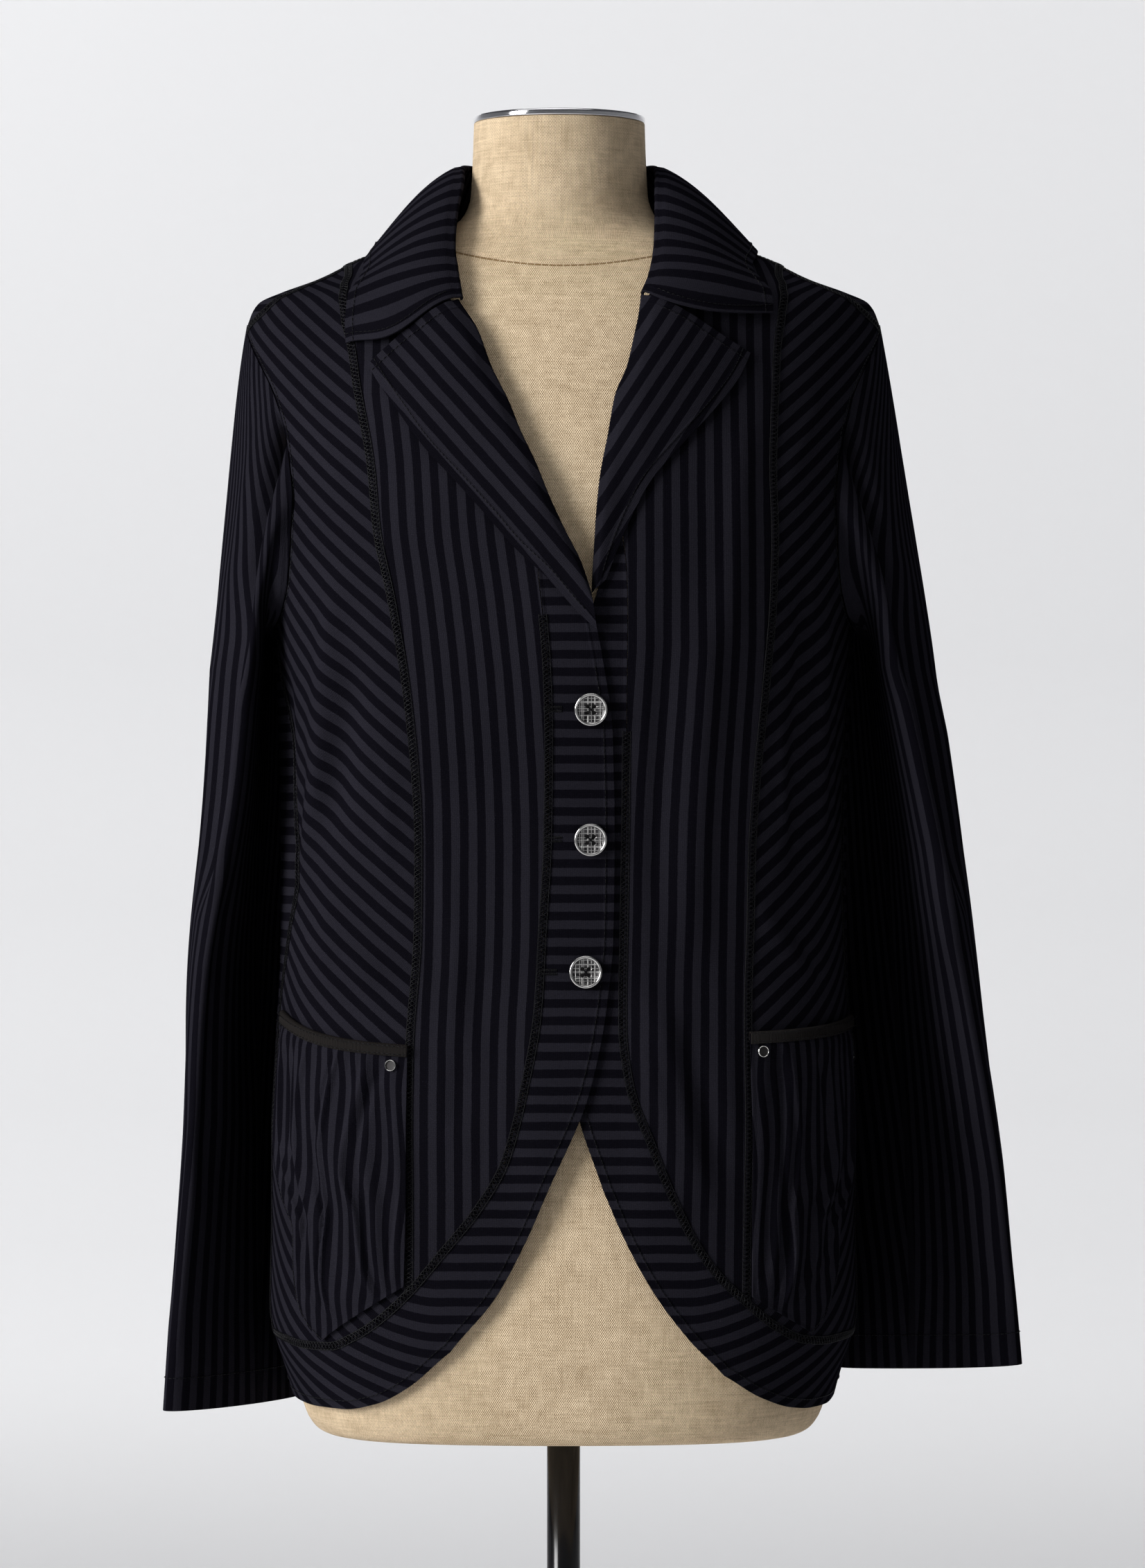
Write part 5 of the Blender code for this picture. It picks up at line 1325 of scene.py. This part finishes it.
# %% The stitching trees
def stitch_tree(name, crossed):
    """One stitch on each point: a crossed one covers a seam, a plain one runs along it."""
    tree = bpy.data.node_groups.new(name, "GeometryNodeTree")
    face = tree.interface
    face.new_socket("Points", in_out="INPUT", socket_type="NodeSocketGeometry")
    for label in ("Length", "Width", "Thread radius", "Rise"):
        face.new_socket(label, in_out="INPUT", socket_type="NodeSocketFloat")
    face.new_socket("Finish", in_out="INPUT", socket_type="NodeSocketMaterial")
    face.new_socket("Stitches", in_out="OUTPUT", socket_type="NodeSocketGeometry")
    entry, leave = tree.nodes.new("NodeGroupInput"), tree.nodes.new("NodeGroupOutput")

    def add(kind, values, **settings):
        made = tree.nodes.new(kind)
        for key, value in settings.items():
            setattr(made, key, value)
        for key, value in values.items():
            if isinstance(value, bpy.types.NodeSocket):
                tree.links.new(value, made.inputs[key])
            else:
                made.inputs[key].default_value = value
        return made

    def scaled(label, share):
        values = {0: entry.outputs[label], 1: share}
        return add("ShaderNodeMath", values, operation="MULTIPLY").outputs[0]

    def place(across, along, up):
        return add("ShaderNodeCombineXYZ", {0: scaled("Width", across), 1: scaled("Length", along),
                   2: scaled("Rise", up)}).outputs[0]

    if crossed:
        bows = [((-0.5, -0.5, 0), (0, 0, 1.6), (0.5, 0.5, 0)),
                ((0.5, -0.5, 0), (0, 0, 1.2), (-0.5, 0.5, 0)),
                ((-0.5, -0.55, 0), (-0.5, 0, 0.9), (-0.5, 0.55, 0)),
                ((0.5, -0.55, 0), (0.5, 0, 0.9), (0.5, 0.55, 0))]
    else:
        bows = [((0, -0.42, -0.4), (0, 0, 1.6), (0, 0.42, -0.4))]
    join = add("GeometryNodeJoinGeometry", {})
    for start, middle, end in bows:
        bow = add("GeometryNodeCurveQuadraticBezier", {"Resolution": 3, "Start": place(*start),
                  "Middle": place(*middle), "End": place(*end)})
        tree.links.new(bow.outputs[0], join.inputs[0])
    profile = add("GeometryNodeCurvePrimitiveCircle", {"Resolution": 5 if crossed else 6,
                  "Radius": entry.outputs["Thread radius"]})
    stitch = add("GeometryNodeCurveToMesh", {"Curve": join.outputs[0],
                 "Profile Curve": profile.outputs[0], "Fill Caps": True})
    ways = [add("GeometryNodeInputNamedAttribute", {"Name": label}, data_type="FLOAT_VECTOR").outputs[0]
            for label in ("out", "along")]
    turn = add("FunctionNodeAxesToRotation", {0: ways[0], 1: ways[1]}, primary_axis="Z",
               secondary_axis="Y")
    placed = add("GeometryNodeInstanceOnPoints", {"Points": entry.outputs["Points"],
                 "Instance": stitch.outputs[0], "Rotation": turn.outputs[0]})
    real = add("GeometryNodeRealizeInstances", {0: placed.outputs[0]})
    smooth = add("GeometryNodeSetShadeSmooth", {"Geometry": real.outputs[0]})
    dressed = add("GeometryNodeSetMaterial", {"Geometry": smooth.outputs[0],
                  "Material": entry.outputs["Finish"]})
    tree.links.new(dressed.outputs[0], leave.inputs[0])
    return tree


FINE_THREAD, COVER_THREAD = 0.00022, 0.00028     # their radii


def sew(name, rows, length, rise, tree=None, width=0.001, radius=FINE_THREAD):
    """Runs a stitching tree on rows of points and keeps the result as a plain mesh."""
    carrier = point_mesh(name + "_points", rows)
    modifier = carrier.modifiers.new("stitches", "NODES")
    modifier.node_group = tree = tree or run_tree
    sizes = {"Length": length, "Width": width, "Thread radius": radius, "Rise": rise, "Finish": thread}
    for item in tree.interface.items_tree:
        if item.in_out == "INPUT" and item.name in sizes:
            modifier[item.identifier] = sizes[item.name]
    ready = carrier.evaluated_get(bpy.context.evaluated_depsgraph_get())
    mesh = bpy.data.meshes.new_from_object(ready)
    bpy.data.objects.remove(carrier)
    made = new_object(name, mesh)
    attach(made, "root")
    print(name, sum(len(row[0]) for row in rows), "stitches,", len(mesh.polygons), "faces")


cover_tree = stitch_tree("cover_stitch", True)
run_tree = stitch_tree("running_stitch", False)

# %% [markdown]
# A cover stitch holds the knitted panels together edge to edge: two rows of thread with a lattice
# between them, 4.6 mm wide. It lies on the princess seams, the band seams, the side seams, the
# shoulder seams and the seams of the back.

# %% Cover-stitched seams
SEAM_WIDTH, SEAM_PITCH, SEAM_LIFT = 0.0046, 0.0026, 0.00035
LAPEL_HIDES = {"right": 3, "left": 5}       # rows of the band's table that the lapel lies over


def side_seams(side):
    hem = [(79.0, HEM_SEAM), (115.0, HEM_SEAM + 0.0005), (149.0, HEM_SEAM + 0.001),
           (180.0, HEM_SEAM + 0.001)]
    band = [row[:2] for row in BAND[side][LAPEL_HIDES[side]:]]
    shoulder = on_side(SHOULDER_INNER[::-1] + SHOULDER_OUTER[1:], side)
    return [PRINCESS[side], band, SIDE[side], shoulder,
            on_side(BACK_PRINCESS, side), on_side(hem, side)]


back_seam = [(180.0, HEM_SEAM), (180.0, 1.300), BACK_NECK[0]]
for name, side, seams in (("right", "right", side_seams("right")), ("left", "left", side_seams("left")),
                          ("back", "left", [back_seam])):
    rows = [seam_row(places, side, SEAM_LIFT, SEAM_PITCH) for places in seams]
    sew(f"cover_stitch_{name}", rows, SEAM_PITCH, 0.0005, cover_tree, SEAM_WIDTH, COVER_THREAD)

# %% [markdown]
# Topstitching runs 5.4 mm inside the closing edge, the lapels and the collar, close to the armholes
# and the pockets, and 20.5 mm above the cuffs. A grid's own points give most of those lines: the
# point at a set distance from the rim on every row.

# %% Topstitched edges
TOP_PITCH, TOP_LIFT = 0.0031, 0.0002
HEM_INSET, CUFF_INSET = 0.0105, 0.0205


def inset_line(grid, distance, last=True):
    """The line on a grid at a distance from its last (or first) column, with its normals."""
    rows = grid[:, ::-1] if last else grid
    run = running(rows, 1)
    line, inner = (np.array([[np.interp(far, run[i], rows[i, :, k]) for k in range(3)]
                             for i in range(len(rows))]) for far in (distance, distance + 0.004))
    normals = unit(np.cross(np.gradient(line, axis=0), inner - line))
    return line, normals


def edge_row(grid, start=0, distance=TOP_INSET, last=True):
    """Stitch points along a grid's edge, from a row on, facing away from the middle of the body."""
    line, normals = inset_line(grid[start:], distance, last)
    away = (line - (0.0, RIDGE_Y, 0.0)) * (1, 1, 0)
    normals = normals * np.sign(np.sum(normals * away, axis=1, keepdims=True))
    return resample(line + normals * TOP_LIFT, normals, TOP_PITCH)


def front_rows(side):
    """Band, lapel and its gorge, hem, armhole, pocket and both edges of the pocket's binding."""
    band, flap, mouth = (grids[f"{piece}_{side}"] for piece in ("front_band", "lapel", "pocket"))
    rows = [edge_row(band, {"right": 24, "left": 44}[side]), edge_row(flap, 4),
            edge_row(np.swapaxes(flap, 0, 1), 12),
            edge_row(grids[f"hem_band_{side}"], distance=HEM_INSET, last=False),
            seam_row(ARMHOLE_FRONT[side], side, TOP_LIFT, TOP_PITCH, 0.0022 * SIGN[side]),
            seam_row(POCKET_OUTER[side], side, CLOTH + LAYER_GAP + 0.0006, TOP_PITCH,
                     -0.0020 * SIGN[side])]
    for down in (0.0002, 0.0048):
        places = [tuple(place) for place in (mouth - (0, down))[::10]]
        rows.append(seam_row(places, side, 2 * CLOTH + 2 * LAYER_GAP + 0.0009, TOP_PITCH))
    return rows


def cuff_row(side):
    tube = grids[f"sleeve_{side}"]
    closed = np.concatenate([tube, tube[:, :1]], axis=1)
    line, _ = inset_line(np.swapaxes(closed, 0, 1), CUFF_INSET)
    out = tube_normals(tube)[-4]
    out = np.concatenate([out, out[:1]])
    return resample(line + out * TOP_LIFT, out, TOP_PITCH)


collar_ends = [edge_row(np.swapaxes(grids["collar"][rows], 0, 1), 10, last=last)
               for rows, last in ((slice(12), False), (slice(-12, None), True))]
top_rows = [*front_rows("right"), *front_rows("left"), edge_row(grids["collar"]), *collar_ends,
            cuff_row("right"), cuff_row("left")]
sew("topstitch", top_rows, TOP_PITCH * 0.86, 0.0004)

# %% [markdown]
# The buttons are plated metal, 20 mm across, with a bright raised rim, a face engraved with fine
# lines both ways and four holes sewn crosswise. A turned outline makes the body, and four small
# cylinders cut the holes.

# %% Turned shapes
def turned(name, outline, finishes, sides, origin=None, axis=(0, 0, 1), marks=None, scale=(1, 1)):
    """A turned solid from a closed outline of radius, height. marks gives each span's finish."""
    profile = np.array(outline, float) * scale
    count = len(profile)
    angle = 2 * np.pi * np.arange(sides) / sides
    points = np.stack([np.outer(np.cos(angle), profile[:, 0]), np.outer(np.sin(angle), profile[:, 0]),
                       np.outer(np.ones(sides), profile[:, 1])], -1).reshape(-1, 3)
    faces, looks = [], []
    for s in range(sides):
        after = (s + 1) % sides
        for i in range(count - 1):
            faces.append((s * count + i, after * count + i, after * count + i + 1, s * count + i + 1))
            looks.append(marks[i] if marks else 0)
    if origin is not None:
        axis = np.array(axis, float)
        aside = unit(np.cross((0, 0, 1), axis)) if axis[2] < 0.99 else np.array([1, 0, 0])
        up = np.cross(axis, aside)
        points = origin + points[:, :1] * aside + points[:, 1:2] * up + points[:, 2:] * axis
    mesh = new_mesh(name, points, faces, finishes)
    mesh.polygons.foreach_set("material_index", looks)
    turn_faces_out(mesh, merge=1e-6)
    shade(mesh, 50)
    return new_object(name, mesh)


def finished(made, node):
    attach(made, "root")
    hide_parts(node)


# %% Buttons
BUTTONS = [(4.4, 1.2095), (4.4, 1.1323), (3.6, 1.0533)]
BUTTON_RADIUS, BUTTON_THICKNESS, BUTTON_LIFT = 0.0098, 0.0034, 0.0008
HOLE_RADIUS, HOLE_SPREAD = 0.00120, 0.0019
# Radius and height as shares, from the middle of the underside to the middle of the face
DISH = [(0, 0), (0.80, 0), (0.93, 0.12), (1.0, 0.45), (1.0, 0.75), (0.98, 0.92), (0.93, 1.0),
        (0.87, 0.98), (0.83, 0.84), (0.80, 0.74), (0.5, 0.70), (0.30, 0.66), (0, 0.66)]


def place_on(spot, side, lift):
    turn, height = (np.array([value]) for value in spot)
    return skin(turn, height, lift, side)[0], outward(turn, height)[0]


def button(number, spot):
    origin, axis = place_on(spot, "right", BUTTON_LIFT)
    made = turned(f"metal_button_{number}", DISH, [silver, enamel, hatched], 64, origin, axis,
                  [1, 1, 1, 1, 0, 0, 0, 0, 1, 2, 2, 2], (BUTTON_RADIUS, BUTTON_THICKNESS))
    aside = unit(np.cross((0, 0, 1), axis))
    up = np.cross(axis, aside)
    pins = []
    for a, b in ((1, 1), (1, -1), (-1, 1), (-1, -1)):
        centre = origin + (aside * a + up * b) * HOLE_SPREAD + axis * 0.0008
        pin = turned("hole", [(0, 0), (HOLE_RADIUS, 0), (HOLE_RADIUS, 0.004), (0, 0.004)],
                     [silver, enamel], 16, centre, axis, [1, 1, 1])
        cut = made.modifiers.new("hole", "BOOLEAN")
        cut.operation, cut.object, cut.solver = "DIFFERENCE", pin, "EXACT"
        pins.append(pin)
    ready = made.evaluated_get(bpy.context.evaluated_depsgraph_get())
    mesh = bpy.data.meshes.new_from_object(ready)
    made.modifiers.clear()
    made.data = mesh
    for pin in pins:
        bpy.data.objects.remove(pin)
    finished(made, f"button_{number}")
    rows = []
    for way in (aside + up, aside - up):
        for shift in (-0.00018, 0.00018):
            middle = origin + axis * (BUTTON_THICKNESS * 0.72) + unit(np.cross(way, axis)) * shift
            rows.append((middle[None], unit(way)[None], axis[None]))
    sew(f"button_thread_{number}", rows, 2.9 * HOLE_SPREAD * 0.95, 0.0003)


for number, spot in enumerate(BUTTONS, 1):
    button(number, spot)

# %% [markdown]
# Beside each button the end of its buttonhole shows: a short bar of tight stitches. Small turned
# rivets hold the pocket corners, and a plain round metal badge hangs at the end of one pocket.

# %% Buttonhole bars
BAR_PITCH = 0.0007
bar_rows = []
for turn, height in BUTTONS:
    for start, end, lift in (((4.6, -0.0011), (7.2, -0.0011), 0.0002),
                             ((4.6, 0.0011), (7.2, 0.0011), 0.0002),
                             ((7.3, -0.0016), (7.3, 0.0016), 0.0003)):
        places = [(turn - aside, height + up) for aside, up in (start, end)]
        points, along, out = seam_row(places, "right", lift, BAR_PITCH, count=20)
        bar_rows.append((points, np.cross(out, along), out))
sew("buttonhole_bars", bar_rows, 0.0018, 0.0004)

# %% Rivets and badge
RIVET_LIFT = CLOTH + 2 * LAYER_GAP + 0.00055
# Outlines as shares of the radius and the thickness
STUD = [(0, 0), (0.92, 0), (1.0, 0.25), (1.0, 0.60), (0.95, 0.9), (0.88, 1.0), (0.80, 0.92),
        (0.74, 0.50), (0, 0.40)]
DISC = [(0, 0), (0.90, 0), (0.98, 0.25), (1.0, 0.55), (0.97, 0.85), (0.90, 1.0), (0.84, 0.86),
        (0.80, 0.72), (0, 0.72)]
# Outline, finish of the middle, finish of each span, sides, radius and thickness
RIVET = STUD, enamel, [1, 1, 0, 0, 0, 0, 1, 1], 40, (0.0036, 0.0019)
BADGE = DISC, dark_metal, [1, 1, 0, 0, 0, 0, 0, 1], 56, (0.0090, 0.0021)
for node, spot, side, lift, (outline, inside, marks, sides, scale) in (
        ("rivet_right", (-29.6, 0.9975), "right", RIVET_LIFT, RIVET),
        ("rivet_left", (35.6, 1.0055), "left", RIVET_LIFT, RIVET),
        ("badge", (79.0, 1.0040), "left", 0.0006, BADGE)):
    trim = turned(f"metal_{node}", outline, [silver, inside], sides, *place_on(spot, side, lift),
                  marks, scale)
    finished(trim, node)

# %% [markdown]
# The dress form is a limbless torso covered in natural linen. Its surface is the garment's own, a few
# millimetres further in, with a rounded bottom edge and a plain neck. A polished cap closes the neck.

# %% Dress form
NECK_RADIUS, FORM_BOTTOM, NECK_TOP = 0.0525, 0.770, 1.5707
NECK_Y = RIDGE_Y + 0.0065


def form_rings(count):
    turns = np.linspace(-180, 180, count, endpoint=False)

    def ring_at(height):
        height = np.full(count, height)
        return body(turns, height) - outward(turns, height) * ease_at(height)[:, None]

    rings = []
    bottom = np.array([(0.0, 0.86), (0.0012, 0.94), (0.005, 0.975), (0.012, 0.992), (0.024, 1.0)])
    curve = smooth_column(bottom, 1)
    for rise in np.concatenate([np.linspace(0, 0.004, 6), np.linspace(0.006, 0.024, 6)]):
        ring = ring_at(FORM_BOTTOM + rise)
        ring[:, 2] = FORM_BOTTOM + rise
        middle = np.array([0, RIDGE_Y, FORM_BOTTOM + rise])
        rings.append(middle + (ring - middle) * (curve(rise), curve(rise), 1))
    for height in np.concatenate([np.linspace(0.82, 1.42, 40), np.linspace(1.4325, 1.4985, 14)]):
        rings.append(ring_at(height))
    angle = np.radians(turns)
    # height, half_width, how far to the wearer's left, depth
    neck = np.array([(1.5035, 0.0640, 0.0085, 0.0545), (1.5130, 0.0570, 0.0025, 0.0545),
                     (1.5260, 0.0545, 0.0, 0.0545), (1.5500, 0.0532, 0.0, 0.0532),
                     (NECK_TOP, NECK_RADIUS, 0.0, NECK_RADIUS)])
    wide, aside, deep = (smooth_column(neck, c) for c in (1, 2, 3))
    for height in np.linspace(1.5035, NECK_TOP, 18):
        x = NECK_X + (wide(height) + aside(height)) * np.sin(angle)
        y = NECK_Y - deep(height) * np.cos(angle)
        rings.append(np.column_stack([x, y, np.full(count, height)]))
    return np.array(rings)


def dress_form():
    count = 120
    rings = form_rings(count)
    last = len(rings) - 1
    faces = [tuple(range(count)), tuple(last * count + c for c in range(count))[::-1]]
    r, c = np.meshgrid(np.arange(last), np.arange(count), indexing="ij")
    after = (c + 1) % count
    low, high = r * count, (r + 1) * count
    quads = np.stack([low + c, low + after, high + after, high + c], -1)
    mesh = new_mesh("linen_form", rings.reshape(-1, 3), faces + quads.reshape(-1, 4).tolist(), [linen])
    middle = rings.mean(axis=1, keepdims=True)
    radius = np.linalg.norm((rings - middle)[..., :2], axis=2).mean(axis=1)
    over = np.radians(np.linspace(-180, 180, count, endpoint=False))[None] * radius[:, None]
    store_places(mesh, np.stack([over, rings[..., 2]], -1).reshape(-1, 2))
    turn_faces_out(mesh)
    shade(mesh, 50)
    finished(new_object("linen_form", mesh), "form_torso")


dress_form()

# %% Neck cap, pole and base
SEAT = 0.0003           # between two solids that carry each other
POLE_RADIUS, BASE_RADIUS, BASE_THICKNESS = 0.0102, 0.155, 0.012
SOCKET_RADIUS, SOCKET_HEIGHT = 0.0175, 0.048
rim = NECK_RADIUS + 0.0002
cap = [(0, 0), (rim - 0.0006, 0), (rim - 0.0001, 0.0005), (rim, 0.0012), (rim, 0.0030),
       (rim - 0.0004, 0.0038), (rim - 0.0014, 0.0042), (rim - 0.0060, 0.0046), (rim * 0.5, 0.0049),
       (0, 0.0050)]
finished(turned("chrome_cap", cap, [chrome], 128, np.array([NECK_X, NECK_Y, NECK_TOP + SEAT])),
         "neck_cap")
foot, head, bore = BASE_THICKNESS + SEAT, FORM_BOTTOM - SEAT, POLE_RADIUS + SEAT
pole = [(0, foot), (POLE_RADIUS, foot), (POLE_RADIUS, head - 0.0006), (POLE_RADIUS - 0.0006, head),
        (0, head)]
finished(turned("steel_pole", pole, [black_paint], 64), "pole")
base = [(0, 0), (BASE_RADIUS - 0.002, 0), (BASE_RADIUS - 0.0006, 0.0006), (BASE_RADIUS, 0.002),
        (BASE_RADIUS, BASE_THICKNESS - 0.003), (BASE_RADIUS - 0.0009, BASE_THICKNESS - 0.0009),
        (BASE_RADIUS - 0.003, BASE_THICKNESS), (SOCKET_RADIUS + 0.010, BASE_THICKNESS + 0.0027),
        (SOCKET_RADIUS + 0.004, BASE_THICKNESS + 0.0045), (SOCKET_RADIUS, BASE_THICKNESS + 0.009),
        (SOCKET_RADIUS - 0.003, SOCKET_HEIGHT - 0.002), (SOCKET_RADIUS - 0.005, SOCKET_HEIGHT),
        (bore, SOCKET_HEIGHT), (bore, BASE_THICKNESS), (0, BASE_THICKNESS)]
finished(turned("steel_base", base, [black_paint], 128), "base")

# %% [markdown]
# The picture: a plain pale floor that curves up into a pale wall all round, one large soft light from
# the front on the left, and little fill from the right, so that side of the blazer falls into shadow.

# %% Floor and backdrop
def backdrop():
    """A round floor that curves up into a wall all the way round: radius and height of each ring."""
    profile = [(0.02, 0.0), (3.0, 0.0), (9.0, 0.0), (10.2, 0.08), (11.1, 0.35), (11.7, 0.85),
               (12.0, 1.5), (12.0, 7.0)]
    sides = 96
    angle = 2 * np.pi * np.arange(sides) / sides
    points = np.array([(r * np.cos(a), r * np.sin(a), z - 0.0005) for r, z in profile for a in angle])
    faces = [(i * sides + s, (i + 1) * sides + s,
              (i + 1) * sides + (s + 1) % sides, i * sides + (s + 1) % sides)
             for i in range(len(profile) - 1) for s in range(sides)]
    paper = Finish("studio_paper", 0.9)
    paper.colour((0.80, 0.80, 0.81, 1))
    mesh = new_mesh("studio_floor", points, faces + [tuple(range(sides))], [paper.material])
    mesh.shade_smooth()
    new_object("studio_floor", mesh)


def lamp(name, place, aim, size, power):
    light = bpy.data.lights.new(name, "AREA")
    light.shape, light.size, light.size_y, light.energy = "RECTANGLE", *size, power
    made = new_object(name, light)
    made.location = place
    made.rotation_euler = (Vector(aim) - Vector(place)).to_track_quat("-Z", "Y").to_euler()


backdrop()
lamp("key_light", (-2.7, -1.7, 2.0), (0.0, 0.0, 1.15), (1.3, 2.0), 122)
lamp("room_light", (-0.6, -0.6, 6.5), (0.0, 0.0, 0.0), (5.0, 5.0), 110)
lamp("backdrop_light_left", (-3.2, 7.0, 6.0), (-1.2, 11.5, 0.6), (4.0, 3.0), 270)
lamp("backdrop_light_right", (3.2, 7.0, 6.0), (1.2, 11.5, 0.6), (4.0, 3.0), 145)
world = bpy.data.worlds.new("studio")
world.use_nodes = True
glow = world.node_tree.nodes["Background"].inputs
glow["Color"].default_value, glow["Strength"].default_value = (0.9, 0.92, 1.0, 1), 0.07
bpy.context.scene.world = world
bpy.context.scene.view_settings.view_transform = "Standard"

# %% Camera
CAMERA_DISTANCE, CAMERA_HEIGHT = 3.6, 1.165
camera_data = bpy.data.cameras.new("photo_camera")
camera_data.lens, camera_data.sensor_width = 134.75, 36.0
camera = new_object("photo_camera", camera_data)
camera.location = (0.0055, -CAMERA_DISTANCE, CAMERA_HEIGHT)
camera.rotation_euler = (np.radians(90), 0, 0)
bpy.context.scene.camera = camera

# %% Sizes, and finish
print("cuts (width, length, area):", cuts)
